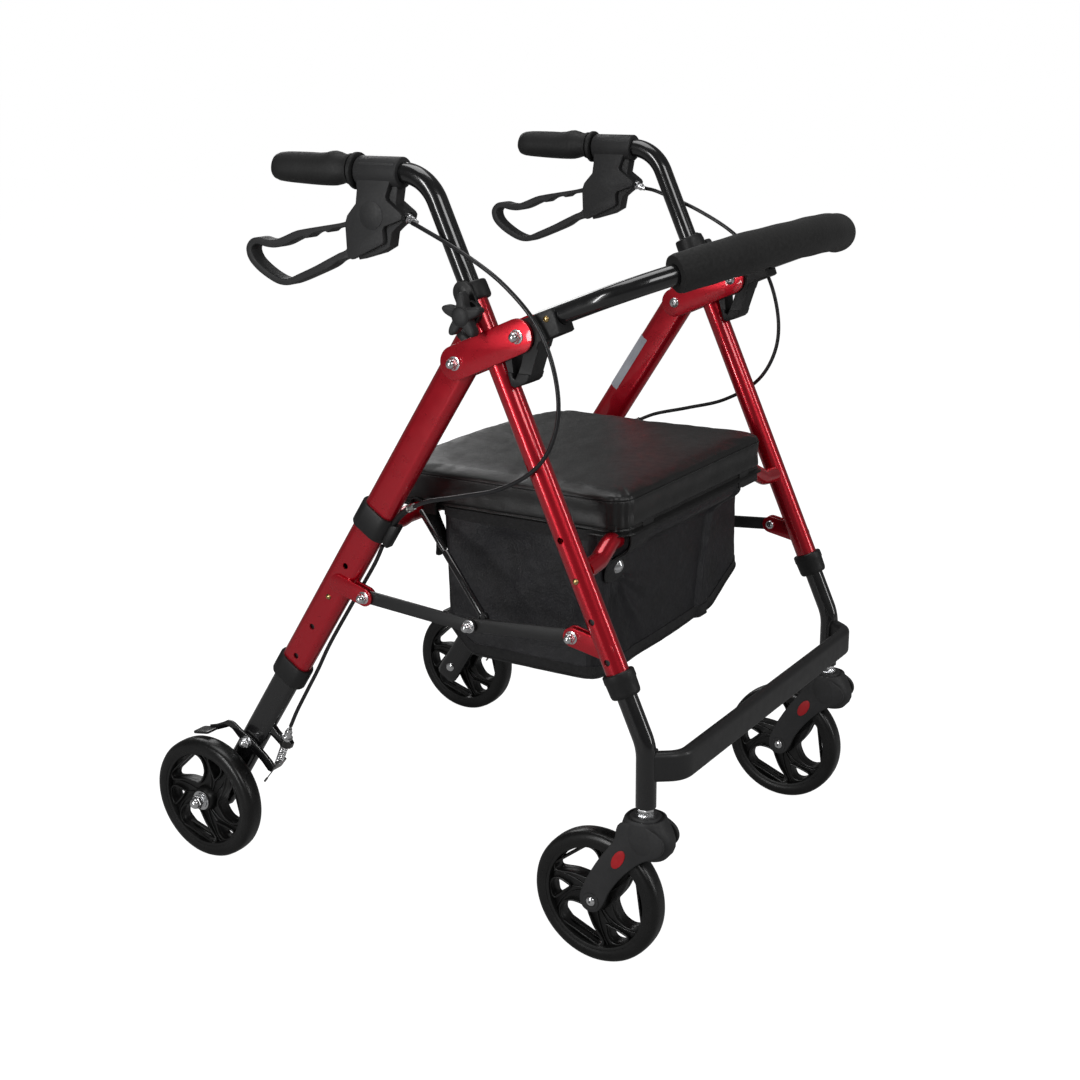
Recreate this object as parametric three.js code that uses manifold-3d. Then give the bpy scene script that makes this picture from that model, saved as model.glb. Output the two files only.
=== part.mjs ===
// Folding four-wheeled rollator walker. Millimetres, +Z up, the front faces -Y, +X is the user's left.
// Everything is laid out with y = 0 at the caster wheels' axle and z = 0 on the floor, and the whole group is
// shifted at the end so that the origin lies under the middle of the object's box.
import * as THREE from 'three';
import { mergeVertices } from 'three/addons/utils/BufferGeometryUtils.js';
import Module from 'manifold-3d';

const wasm = await Module();
wasm.setup();

// ---------------------------------------------------------------- driving dimensions
const GAP = 0.3;
const LEG_X = 244;
const FRONT_TILT = THREE.MathUtils.degToRad(24.4);
const REAR_TILT = THREE.MathUtils.degToRad(33.05);
const FRONT_TOP = { y: 154.5, z: 722.2 };
const REAR_PIVOT = { y: 165.2, z: 644.1 };
const BACKREST_PIVOT = { y: 88.2, z: 678.1 };

const LEG_R = 12.7;
const LEG_BORE_R = 11.6;
const INNER_R = 11;
const INNER_BORE_R = 9.4;
const LEG_LENGTH = 432;
const TUBE_WALL = 1.6;
const UPPER_COLLAR = { start: -2, end: 17, radius: 17.5 };
const LOWER_COLLAR = { start: 423.4, end: 450, radius: 17 };
const REAR_COLLAR = { start: 453, end: 479, section: { width: 46, thickness: 26 } };
const HOLE_STEP_Z = 40.8;
const HOLES = 4;
const HOLE_R = 3.6;
const FRONT_HOLE_T = 275.4;
const REAR_HOLE_T = 293;

const REAR_SECTION = { width: 40, thickness: 20 };
const REAR_WALL = 1.8;
const EXTENSION_SECTION = { width: 34, thickness: 15 };
const EXTENSION_WALL = 2;
const REAR_LEG_TOP = -22;
const REAR_LEG_LENGTH = 463;
const EXTENSION_TOP = 302;
const EXTENSION_END = 700;

const PLATE = { inner: 12.3, outer: 16.3, radius: 18 };
const EAR = { t: 398, radius: 10, reach: 3.6 };
const PIN_R = 4;
const PIN_HOLE_R = 4.35;
const NUT_R = 7;

const CROSSBAR = { z: 239, height: 33 };
const CASTER = { x: LEG_X, y: -55.3, z: 193.4, bend: 260, wheelX: LEG_X };
const REAR_WHEEL = { x: 279.2, y: 533.4 };
const WHEEL_R = 76.2;
const WHEEL_SIDES = 20;
const WHEEL_HALF = 13;
const AXLE_R = 4;

const LINK_FRONT = { y: 29.9, z: 367.5 };
const LINK_REAR = { y: 298.7, z: 366.4 };
const LINK_MID = { y: 158.5, z: 356.8 };
const LINK_R = 7.5;
const FRONT_LINK_X = [244.8, 249.2];
const REAR_LINK_X = [249.5, 253.6];
const ROD_FOOT = { x: 242.3, y: 146, z: 366 };
const ROD_TIP = { x: 203, y: 255, z: 461 };

const SEAT = { half: 184, front: 5, side: 305, back: 338, bottom: 470, top: 505, corner: 50 };
const BOARD = { half: 176, front: 22, back: 308, bottom: 465, top: 469.6 };
const SEAT_CLIP = { x: 120, half: 12 };
const SEAT_BAR_R = 10;
const FRONT_BAR = { y: 27, z: 452, endZ: 437, endY: 24 };
const REAR_BAR = { y: 276, z: 453, endZ: 466, endY: 274 };
const BASKET = { half: 182, front: 44, back: 240, bottom: 298, top: 455, wall: 3 };

const HANDLE_Z = 833;
const HANDLE_BEND_R = 47;
const GRIP = { front: 291, back: 402, radius: 15.5, flange: 19 };
const LEVER_PIVOT = { y: 270, z: 790 };
const KNOB_T = 28;
const KNOB_HOLE_R = 4.6;
const BRAKE_PIVOT = { y: 488, z: 150 };

const BACKREST = { y: 75, z: 690, rise: THREE.MathUtils.degToRad(21.5), straight: 70, bow: 125, tube: 10.5 };
const FOAM = { radius: 20, bore: 11, end: 199 };
const BUTTON_V = 22;
const CABLE_R = 2.4;

const FOAM_FRONT_Y = BACKREST.y - (BACKREST.straight + BACKREST.bow) * Math.cos(BACKREST.rise) - FOAM.radius;
const TYRE_BACK_Y = REAR_WHEEL.y + WHEEL_R;
const ORIGIN_Y = (FOAM_FRONT_Y + TYRE_BACK_Y) / 2;

// ---------------------------------------------------------------- colours
const material = (color, roughness, metalness) => new THREE.MeshStandardMaterial({ color, roughness, metalness });
const RED = material(0x9c0f1c, 0.3, 0.6);
const BLACK_PAINT = material(0x121214, 0.35, 0.4);
const PLASTIC = material(0x1b1b1d, 0.6, 0);
const RUBBER = material(0x141414, 0.8, 0);
const STEEL = material(0xc8ccd0, 0.2, 1);
const BRASS = material(0xc09a48, 0.3, 1);
const VINYL = material(0x1a1a1b, 0.45, 0);
const NYLON = material(0x0f0f14, 0.85, 0);
const FOAM_BLACK = material(0x202021, 0.9, 0);

// ---------------------------------------------------------------- solids
function toSolid(geometry) {
  const bare = geometry.clone();
  bare.deleteAttribute('normal');
  bare.deleteAttribute('uv');
  const merged = mergeVertices(bare, 1e-4);
  return new wasm.Manifold(new wasm.Mesh({
    numProp: 3,
    vertProperties: new Float32Array(merged.attributes.position.array),
    triVerts: new Uint32Array(merged.index.array),
  }));
}

function toGeometry(solid) {
  const mesh = solid.getMesh();
  const geometry = new THREE.BufferGeometry();
  geometry.setAttribute('position', new THREE.BufferAttribute(mesh.vertProperties, 3));
  geometry.setIndex(new THREE.BufferAttribute(mesh.triVerts, 1));
  geometry.computeVertexNormals();
  return geometry;
}

const join = (first, ...rest) => toGeometry(rest.reduce((sum, piece) => sum.add(toSolid(piece)), toSolid(first)));
const cut = (first, ...tools) => toGeometry(tools.reduce((left, tool) => left.subtract(toSolid(tool)), toSolid(first)));

function mirrored(geometry) {
  const copy = mergeVertices(geometry.clone().deleteAttribute('normal').deleteAttribute('uv'), 1e-4);
  copy.scale(-1, 1, 1);
  const index = copy.index.array;
  for (let i = 0; i < index.length; i += 3) {
    [index[i], index[i + 1]] = [index[i + 1], index[i]];
  }
  copy.computeVertexNormals();
  return copy;
}

// A curve that visits a list of stations exactly, one ring of the tube at each.
class StationPath extends THREE.Curve {
  constructor(stations) {
    super();
    this.stations = stations;
  }
  getPoint(u, target = new THREE.Vector3()) {
    const place = u * (this.stations.length - 1);
    const index = Math.min(Math.floor(place), this.stations.length - 2);
    return target.lerpVectors(this.stations[index], this.stations[index + 1], place - index);
  }
  getPointAt(u, target) {
    return this.getPoint(u, target);
  }
  getTangentAt(u, target = new THREE.Vector3()) {
    const index = Math.round(u * (this.stations.length - 1));
    const before = this.stations[Math.max(index - 1, 0)];
    const after = this.stations[Math.min(index + 1, this.stations.length - 1)];
    const here = this.stations[index];
    const into = here.clone().sub(before).normalize();
    const out = after.clone().sub(here).normalize();
    return target.addVectors(into, out).normalize();
  }
}

const at = (x, y, z) => new THREE.Vector3(x, y, z);

// Corner points with the named corners rounded by arcs of a given radius.
function rounded(corners, radius, steps = 5) {
  const stations = [corners[0]];
  for (let i = 1; i < corners.length - 1; i++) {
    const into = corners[i - 1].clone().sub(corners[i]).normalize();
    const out = corners[i + 1].clone().sub(corners[i]).normalize();
    const half = into.angleTo(out) / 2;
    const tangent = radius / Math.tan(half);
    const middle = into.clone().add(out).normalize().multiplyScalar(radius / Math.sin(half)).add(corners[i]);
    const start = into.multiplyScalar(tangent).add(corners[i]).sub(middle);
    const end = out.multiplyScalar(tangent).add(corners[i]).sub(middle);
    const sweep = start.angleTo(end);
    for (let k = 0; k <= steps; k++) {
      const a = start.clone().multiplyScalar(Math.sin(sweep * (1 - k / steps)));
      const b = end.clone().multiplyScalar(Math.sin(sweep * k / steps));
      stations.push(a.add(b).divideScalar(Math.sin(sweep)).add(middle));
    }
  }
  stations.push(corners[corners.length - 1]);
  return stations;
}

function circle(radius, sides) {
  const points = [];
  for (let i = 0; i < sides; i++) {
    const a = i * 2 * Math.PI / sides;
    points.push(new THREE.Vector2(radius * Math.cos(a), radius * Math.sin(a)));
  }
  return points;
}

function tube(stations, radius, bore = 0, sides = 12) {
  const section = new THREE.Shape(circle(radius, sides));
  if (bore > 0) section.holes.push(new THREE.Path(circle(bore, sides)));
  return new THREE.ExtrudeGeometry(section, { steps: stations.length - 1, extrudePath: new StationPath(stations) });
}

const rodX = (x0, x1, p, radius, sides = 10) =>
  new THREE.CylinderGeometry(radius, radius, x1 - x0, sides)
    .rotateZ(-Math.PI / 2).translate((x0 + x1) / 2, p.y, p.z);

const rodZ = (x, y, z0, z1, radius, sides = 10) =>
  new THREE.CylinderGeometry(radius, radius, z1 - z0, sides)
    .rotateX(Math.PI / 2).translate(x, y, (z0 + z1) / 2);

const block = (x0, x1, y0, y1, z0, z1) =>
  new THREE.BoxGeometry(x1 - x0, y1 - y0, z1 - z0)
    .translate((x0 + x1) / 2, (y0 + y1) / 2, (z0 + z1) / 2);

// A flat outline given as [y, z] points, made a plate from x0 to x1.
function plate(points, x0, x1) {
  const shape = new THREE.Shape(points.map(([y, z]) => new THREE.Vector2(y, z)));
  const turn = new THREE.Matrix4().makeBasis(at(0, 1, 0), at(0, 0, 1), at(1, 0, 0)).setPosition(x0, 0, 0);
  return new THREE.ExtrudeGeometry(shape, { depth: x1 - x0, bevelEnabled: false }).applyMatrix4(turn);
}

// The outline of a bar with round ends, between two points of the side view.
function capsule(a, b, radius, steps = 5) {
  const heading = Math.atan2(b.z - a.z, b.y - a.y);
  const points = [];
  for (const [end, start] of [[b, heading - Math.PI / 2], [a, heading + Math.PI / 2]]) {
    for (let i = 0; i <= steps; i++) {
      const angle = start + Math.PI * i / steps;
      points.push([end.y + radius * Math.cos(angle), end.z + radius * Math.sin(angle)]);
    }
  }
  return points;
}

// ---------------------------------------------------------------- the two leg axes
const frontAxis = (t) => ({
  y: FRONT_TOP.y - t * Math.sin(FRONT_TILT),
  z: FRONT_TOP.z - t * Math.cos(FRONT_TILT),
});
const rearAxis = (t) => ({
  y: REAR_PIVOT.y + t * Math.sin(REAR_TILT),
  z: REAR_PIVOT.z - t * Math.cos(REAR_TILT),
});
const frontStation = (t) => at(LEG_X, frontAxis(t).y, frontAxis(t).z);

const frontTube = (t0, t1, radius, bore = 0, sides = 12) => tube([frontStation(t0), frontStation(t1)], radius, bore, sides);

function ovalPoints(width, thickness, steps = 5) {
  const radius = thickness / 2;
  const reach = width / 2 - radius;
  const points = [];
  for (const side of [1, -1]) {
    for (let i = 0; i <= steps; i++) {
      const angle = (side > 0 ? 0 : Math.PI) + Math.PI * i / steps;
      points.push(new THREE.Vector2(radius * Math.cos(angle), side * reach + radius * Math.sin(angle)));
    }
  }
  return points;
}

function rearOval(t0, t1, outer, inner = null) {
  const section = new THREE.Shape(ovalPoints(outer.width, outer.thickness));
  if (inner) section.holes.push(new THREE.Path(ovalPoints(inner.width, inner.thickness)));
  const along = at(0, Math.sin(REAR_TILT), -Math.cos(REAR_TILT));
  const across = along.clone().cross(at(1, 0, 0));
  const start = rearAxis(t0);
  const turn = new THREE.Matrix4().makeBasis(at(1, 0, 0), across, along).setPosition(LEG_X, start.y, start.z);
  return new THREE.ExtrudeGeometry(section, { depth: t1 - t0, bevelEnabled: false }).applyMatrix4(turn);
}

const grown = (section, by) => ({ width: section.width + 2 * by, thickness: section.thickness + 2 * by });

// ---------------------------------------------------------------- front legs, fixed frame
const holeStepFront = HOLE_STEP_Z / Math.cos(FRONT_TILT);
const holeStepRear = HOLE_STEP_Z / Math.cos(REAR_TILT);

function boltX(p, inner, outer) {
  const nut = rodX(outer, outer + 6, p, NUT_R, 6);
  const crown = new THREE.SphereGeometry(NUT_R * 0.8, 6, 4).translate(outer + 6, p.y, p.z);
  const head = rodX(inner - 3, inner, p, NUT_R, 8);
  return join(rodX(inner - 1, outer + 1, p, PIN_R, 8), nut, crown, head);
}

function frontLeg() {
  let leg = frontTube(2, LEG_LENGTH, LEG_R);
  const outline = capsule(BACKREST_PIVOT, REAR_PIVOT, PLATE.radius);
  leg = join(
    leg,
    plate(outline, LEG_X + PLATE.inner, LEG_X + PLATE.outer),
    plate(outline, LEG_X - PLATE.outer, LEG_X - PLATE.inner),
    plate(capsule(frontAxis(EAR.t), LINK_FRONT, EAR.radius), FRONT_LINK_X[1] + GAP, FRONT_LINK_X[1] + EAR.reach),
    plate(capsule(frontAxis(EAR.t), LINK_FRONT, EAR.radius), FRONT_LINK_X[0] - EAR.reach, FRONT_LINK_X[0] - GAP),
  );
  leg = cut(leg, frontTube(-10, LEG_LENGTH + 10, LEG_BORE_R));
  leg = join(
    leg,
    boltX(BACKREST_PIVOT, LEG_X - PLATE.outer, LEG_X + PLATE.outer),
    boltX(REAR_PIVOT, LEG_X - PLATE.outer, LEG_X + PLATE.outer),
    boltX(LINK_FRONT, FRONT_LINK_X[0] - EAR.reach, FRONT_LINK_X[1] + EAR.reach),
  );
  const holes = [rodX(LEG_X, LEG_X + 20, frontAxis(KNOB_T), KNOB_HOLE_R, 8)];
  for (let i = 0; i < HOLES; i++) {
    holes.push(rodX(LEG_X, LEG_X + 20, frontAxis(FRONT_HOLE_T + i * holeStepFront), HOLE_R, 6));
  }
  return cut(leg, ...holes);
}

function upperCollar() {
  const tongue = frontAxis(26);
  let collar = join(
    frontTube(UPPER_COLLAR.start, UPPER_COLLAR.end, UPPER_COLLAR.radius),
    rodX(LEG_X + 13.2, LEG_X + 20, tongue, 13, 10),
    plate(capsule(frontAxis(6), tongue, 12), LEG_X + 13.2, LEG_X + 17),
  );
  collar = cut(collar, frontTube(1.7, 30, LEG_R + GAP), frontTube(-5, 3, INNER_R + GAP));
  return cut(collar, rodX(LEG_X, LEG_X + 30, frontAxis(KNOB_T), KNOB_HOLE_R, 8));
}

const lowerCollar = () => cut(
  frontTube(LOWER_COLLAR.start, LOWER_COLLAR.end, LOWER_COLLAR.radius),
  frontTube(420, LEG_LENGTH + GAP, LEG_R + GAP),
  frontTube(420, 460, INNER_R + GAP),
);

function starKnob() {
  const center = frontAxis(KNOB_T);
  const points = [];
  for (let i = 0; i < 30; i++) {
    const angle = Math.PI / 2 + 2 * Math.PI * i / 30;
    const radius = 17.5 + 6.5 * Math.cos(5 * (angle - Math.PI / 2));
    points.push([center.y + radius * Math.cos(angle), center.z + radius * Math.sin(angle)]);
  }
  return join(
    plate(points, LEG_X + 24, LEG_X + 36),
    rodX(LEG_X + 21, LEG_X + 25, center, 9, 10),
    rodX(LEG_X + INNER_R + GAP, LEG_X + 26, center, PIN_R, 8),
  );
}

function frontSeatBar() {
  const end = LEG_X - LEG_R - 4 * GAP;
  const stations = rounded([
    at(-end, FRONT_BAR.endY, FRONT_BAR.endZ), at(-205, FRONT_BAR.endY + 1, FRONT_BAR.endZ + 2),
    at(-178, FRONT_BAR.y, FRONT_BAR.z), at(178, FRONT_BAR.y, FRONT_BAR.z),
    at(205, FRONT_BAR.endY + 1, FRONT_BAR.endZ + 2), at(end, FRONT_BAR.endY, FRONT_BAR.endZ),
  ], 25, 1);
  return tube(stations, SEAT_BAR_R, SEAT_BAR_R - TUBE_WALL, 8);
}

// ---------------------------------------------------------------- handles
const handleStations = () => rounded(
  [frontStation(170), at(LEG_X, handleCorner().y, HANDLE_Z), at(LEG_X, GRIP.back - 4, HANDLE_Z)],
  HANDLE_BEND_R, 6,
);
const handleCorner = () => frontAxis((FRONT_TOP.z - HANDLE_Z) / Math.cos(FRONT_TILT));
const handleRun = (y0, y1, radius, bore = 0, sides = 12) =>
  tube([at(LEG_X, y0, HANDLE_Z), at(LEG_X, y1, HANDLE_Z)], radius, bore, sides);

const handleTube = () => tube(handleStations(), INNER_R, INNER_BORE_R);

function grip() {
  const profile = [
    [INNER_R + 0.45, 0], [GRIP.flange, 0], [GRIP.flange, 5], [GRIP.radius - 1, 9], [GRIP.radius, 45],
    [GRIP.radius + 1, 75], [GRIP.radius, 100], [GRIP.radius - 3, GRIP.back - GRIP.front], [0, GRIP.back - GRIP.front],
    [0, GRIP.back - GRIP.front - 3], [INNER_R + 0.45, GRIP.back - GRIP.front - 3],
  ].map(([r, h]) => new THREE.Vector2(r, h));
  profile.push(profile[0].clone());
  return new THREE.LatheGeometry(profile, 14).translate(0, GRIP.front, 0).translate(LEG_X, 0, HANDLE_Z);
}

const SLOT = { left: LEG_X - 6, right: LEG_X + 6 };

function brakeHousing() {
  const body = plate([
    [240, 849], [287, 849], [290, 845], [290, 812], [304, 798], [304, 776], [297, 742], [262, 752],
    [258, 768], [238, 764], [230, 782], [240, 802],
  ], LEG_X - 14, LEG_X + 14);
  const lower = plate([[250, 812], [310, 812], [310, 735], [250, 735]], SLOT.left, SLOT.right);
  const housing = cut(body, handleRun(230, 300, INNER_R + GAP), lower);
  return join(housing, rodX(SLOT.left - 2, SLOT.right + 2, LEVER_PIVOT, 3, 8));
}

function brakeLever() {
  const outer = [
    [272, 806], [300, 785], [330, 780], [372, 770], [398, 757], [420, 754], [438, 757], [447, 747],
    [441, 731], [419, 715], [398, 709], [350, 724], [322, 735], [284, 760], [262, 776], [258, 794],
  ];
  const hole = [[306, 776], [368, 762], [394, 749], [418, 745], [435, 748], [439, 742], [435, 733],
    [416, 721], [399, 714], [352, 729], [324, 740], [302, 752]];
  const loop = plate(outer, LEG_X - 10, LEG_X + 10);
  const narrow = (x0, x1) => plate([[250, 820], [312, 820], [312, 730], [250, 730]], x0, x1);
  return cut(
    loop,
    plate(hole, LEG_X - 12, LEG_X + 12),
    narrow(SLOT.right - 0.5, LEG_X + 12),
    narrow(LEG_X - 12, SLOT.left + 0.5),
    rodX(LEG_X - 12, LEG_X + 12, LEVER_PIVOT, 3.35, 8),
  );
}

// ---------------------------------------------------------------- height-adjustable front base and casters
function baseStations() {
  return rounded([
    frontStation(280), at(LEG_X, CASTER.y, CASTER.bend), at(LEG_X, CASTER.y, CASTER.z),
  ], 60, 3);
}

function frontBase() {
  const leg = tube(baseStations(), INNER_R, INNER_BORE_R);
  const foot = rodZ(LEG_X, CASTER.y, CASTER.z, CASTER.z + 45, 10.5, 12);
  const left = join(leg, foot);
  const plan = [
    [240, -66], [222, -94], [-222, -94], [-240, -66], [-240, -48], [-236, -48], [-216, -79], [216, -79], [236, -48], [240, -48],
  ];
  const bar = new THREE.ExtrudeGeometry(
    new THREE.Shape(plan.map(([x, y]) => new THREE.Vector2(x, y))),
    { depth: CROSSBAR.height, bevelEnabled: false },
  ).translate(0, 0, CROSSBAR.z - CROSSBAR.height / 2);
  const base = join(left, mirrored(left), bar);
  const tools = [];
  for (const side of [1, -1]) {
    tools.push(rodZ(side * LEG_X, CASTER.y, CASTER.z - 5, CASTER.z + 40, 6.4));
    const hole = rodX(LEG_X, LEG_X + 20, frontAxis(FRONT_HOLE_T + holeStepFront), HOLE_R + 0.3, 8);
    tools.push(side > 0 ? hole : mirrored(hole));
  }
  return cut(base, ...tools);
}

function casterFork() {
  const arm = [
    [-27, 153], [-34, 182], [-76, 182], [-86, 172], [-90, 158], [-82, 148], [-62, 138], [-34, 112], [-18, 86],
    [-14, 74], [-8, 65], [2, 62], [11, 67], [14, 78], [6, 100], [-8, 126],
  ];
  const crown = [[-27, 153], [-34, 182], [-76, 182], [-86, 172], [-90, 158], [-82, 148]];
  const fork = join(
    plate(crown, LEG_X - 18.8, LEG_X + 18.8),
    plate(arm, LEG_X + 14.8, LEG_X + 18.8),
    plate(arm, LEG_X - 18.8, LEG_X - 14.8),
    rodZ(LEG_X, CASTER.y, 180, 230, 6),
    rodZ(LEG_X, CASTER.y, 181, CASTER.z - GAP, 9.5, 6),
  );
  return cut(fork, rodX(LEG_X - 30, LEG_X + 30, { y: 0, z: WHEEL_R }, AXLE_R + 0.35, 8));
}

function wheel(x, y) {
  const rim = WHEEL_R / Math.cos(Math.PI / WHEEL_SIDES);
  const profile = [
    [AXLE_R + 0.35, -14], [15, -14], [16, -6], [57, -6], [61, -WHEEL_HALF], [rim, -10],
    [rim, 10], [61, WHEEL_HALF], [57, 6], [16, 6], [15, 14], [AXLE_R + 0.35, 14], [AXLE_R + 0.35, -14],
  ].map(([r, h]) => new THREE.Vector2(r, h));
  return new THREE.LatheGeometry(profile, WHEEL_SIDES)
    .rotateY(Math.PI / WHEEL_SIDES).rotateZ(-Math.PI / 2).translate(x, y, WHEEL_R);
}

const frontAxle = () => join(
  rodX(LEG_X - 21, LEG_X + 21, { y: 0, z: WHEEL_R }, AXLE_R, 10),
  rodX(LEG_X + 19.1, LEG_X + 24, { y: 0, z: WHEEL_R }, NUT_R, 6),
  rodX(LEG_X - 24, LEG_X - 19.1, { y: 0, z: WHEEL_R }, NUT_R, 6),
);

const legButton = (p, surface) => join(
  rodX(surface - 1.6, surface + 1, p, HOLE_R - 0.4, 6),
  rodX(surface + 0.5, surface + 1.8, p, HOLE_R - 1.4, 6),
);

// ---------------------------------------------------------------- rear legs
function rearLeg() {
  const inner = grown(REAR_SECTION, -REAR_WALL);
  const ear = capsule({ y: 341, z: 374 }, LINK_REAR, EAR.radius);
  let leg = join(
    rearOval(REAR_LEG_TOP, REAR_LEG_LENGTH, REAR_SECTION),
    plate(ear, REAR_LINK_X[1] + 0.2, REAR_LINK_X[1] + 3),
    plate(ear, REAR_LINK_X[0] - EAR.reach, REAR_LINK_X[0] - GAP),
  );
  leg = cut(leg, rearOval(REAR_LEG_TOP - 5, REAR_LEG_LENGTH + 5, inner));
  leg = join(leg, boltX(LINK_REAR, REAR_LINK_X[0] - EAR.reach, REAR_LINK_X[1] + 3));
  const holes = [rodX(LEG_X - 20, LEG_X + 20, REAR_PIVOT, PIN_HOLE_R, 10)];
  for (let i = 0; i < HOLES; i++) {
    holes.push(rodX(LEG_X, LEG_X + 20, rearAxis(REAR_HOLE_T + i * holeStepRear), HOLE_R, 6));
  }
  return cut(leg, ...holes);
}

function rearSeatBar() {
  const end = LEG_X - REAR_SECTION.thickness / 2 - 5 * GAP;
  const stations = rounded([
    at(-end, REAR_BAR.endY, REAR_BAR.endZ), at(-218, REAR_BAR.endY, REAR_BAR.endZ - 2),
    at(-200, REAR_BAR.y, REAR_BAR.z), at(200, REAR_BAR.y, REAR_BAR.z),
    at(218, REAR_BAR.endY, REAR_BAR.endZ - 2), at(end, REAR_BAR.endY, REAR_BAR.endZ),
  ], 18, 1);
  return tube(stations, SEAT_BAR_R, SEAT_BAR_R - TUBE_WALL, 8);
}

const rearCollar = () => cut(
  rearOval(REAR_COLLAR.start, REAR_COLLAR.end, REAR_COLLAR.section),
  rearOval(450, REAR_LEG_LENGTH + GAP, grown(REAR_SECTION, GAP)),
  rearOval(450, 485, grown(EXTENSION_SECTION, GAP)),
);

function rearExtension() {
  const solid = join(
    rearOval(EXTENSION_TOP, EXTENSION_END, EXTENSION_SECTION),
    plate([[462, 186], [420, 168], [424, 156], [470, 172]], LEG_X - 6, LEG_X + 6),
  );
  const hollow = cut(
    solid,
    rearOval(EXTENSION_TOP - 5, EXTENSION_END - 12, grown(EXTENSION_SECTION, -EXTENSION_WALL)),
    rodX(LEG_X, LEG_X + 20, rearAxis(REAR_HOLE_T + holeStepRear), HOLE_R + 0.3, 8),
    rodZ(LEG_X, 431, 150, 185, 3.3, 8),
  );
  const pin = join(
    rodX(LEG_X + 6.5, LEG_X + 19, BRAKE_PIVOT, PIN_R, 10),
    rodX(LEG_X + 15.4, LEG_X + 19, BRAKE_PIVOT, NUT_R, 8),
  );
  const drilled = cut(hollow, rodX(LEG_X - 20, LEG_X + 20, { y: REAR_WHEEL.y, z: WHEEL_R }, AXLE_R + GAP, 10));
  return join(drilled, pin);
}

function rearAxle() {
  const p = { y: REAR_WHEEL.y, z: WHEEL_R };
  const hub = REAR_WHEEL.x - 14;
  return join(
    rodX(LEG_X - 9, REAR_WHEEL.x + 18, p, AXLE_R, 10),
    rodX(LEG_X - 12.5, LEG_X - 7.9, p, NUT_R, 6),
    rodX(LEG_X + 7.8, hub - GAP, p, 8, 10),
    rodX(REAR_WHEEL.x + 14.3, REAR_WHEEL.x + 20, p, NUT_R, 6),
  );
}

function brakeArm() {
  const x0 = LEG_X + 8.5;
  const arm = plate([
    [446, 112], [454, 112], [466, 130], [486, 140], [498, 146], [514, 162], [538, 160], [540, 166], [512, 172],
    [496, 162], [484, 160], [474, 148], [456, 138], [444, 124],
  ], x0, x0 + 3.4);
  const shoe = new THREE.BoxGeometry(36, 22, 3).rotateX(-0.17).translate(x0 + 18.5, 546, 156.9);
  const foot = block(x0, x0 + 3.4, 530, 546, 156, 165);
  return cut(join(arm, shoe, foot), rodX(x0 - 5, x0 + 10, BRAKE_PIVOT, PIN_HOLE_R, 10));
}

// ---------------------------------------------------------------- folding links and seat lift rods
function frontLink() {
  const [x0, x1] = FRONT_LINK_X;
  const bar = cut(plate(capsule(LINK_FRONT, LINK_MID, LINK_R), x0, x1), rodX(x0 - 5, x1 + 5, LINK_FRONT, PIN_HOLE_R, 10));
  return join(
    bar,
    rodX(ROD_FOOT.x - 2, x0 + 1, ROD_FOOT, 2.5, 8),
    rodX(x0 - 3.5, x0 + 1, LINK_MID, 6, 6),
  );
}

function rearLink() {
  const [x0, x1] = REAR_LINK_X;
  const bar = cut(plate(capsule(LINK_REAR, LINK_MID, LINK_R), x0, x1), rodX(x0 - 5, x1 + 5, LINK_REAR, PIN_HOLE_R, 10));
  return join(bar, rodX(x1 - 1, x1 + 5, LINK_MID, 6, 6));
}

const rodFoot = at(ROD_FOOT.x, ROD_FOOT.y, ROD_FOOT.z);
const rodTip = at(ROD_TIP.x, ROD_TIP.y, ROD_TIP.z);
const rodPoint = (u) => rodFoot.clone().lerp(rodTip, u);

function liftRodLower() {
  const sleeve = tube([rodPoint(0.03), rodPoint(0.6)], 4.2, 0, 8);
  const eye = rodX(ROD_FOOT.x - 2.1, ROD_FOOT.x + 2.1, ROD_FOOT, 6, 10);
  const body = join(sleeve, eye);
  const bore = tube([rodPoint(0.07), rodPoint(0.7)], 3, 0, 8);
  return cut(body, bore, rodX(ROD_FOOT.x - 9, ROD_FOOT.x + 9, ROD_FOOT, 2.9, 8));
}

const liftRodUpper = () => tube([rodPoint(0.09), rodPoint(1)], 2.5, 0, 8);

// ---------------------------------------------------------------- seat and basket
function seatOutline() {
  const outline = new THREE.Shape();
  outline.moveTo(-SEAT.half, SEAT.front + SEAT.corner);
  outline.absarc(-SEAT.half + SEAT.corner, SEAT.front + SEAT.corner, SEAT.corner, Math.PI, 1.5 * Math.PI);
  outline.absarc(SEAT.half - SEAT.corner, SEAT.front + SEAT.corner, SEAT.corner, -0.5 * Math.PI, 0);
  outline.lineTo(SEAT.half, SEAT.side - 12);
  outline.bezierCurveTo(SEAT.half, SEAT.side + 12, 110, SEAT.back, 0, SEAT.back);
  outline.bezierCurveTo(-110, SEAT.back, -SEAT.half, SEAT.side + 12, -SEAT.half, SEAT.side - 12);
  return outline;
}

const seatPad = () => new THREE.ExtrudeGeometry(seatOutline(), {
  depth: SEAT.top - SEAT.bottom - 12, curveSegments: 5,
  bevelEnabled: true, bevelThickness: 6, bevelSize: 6, bevelOffset: -6, bevelSegments: 1,
}).translate(0, 0, SEAT.bottom + 6);

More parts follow.
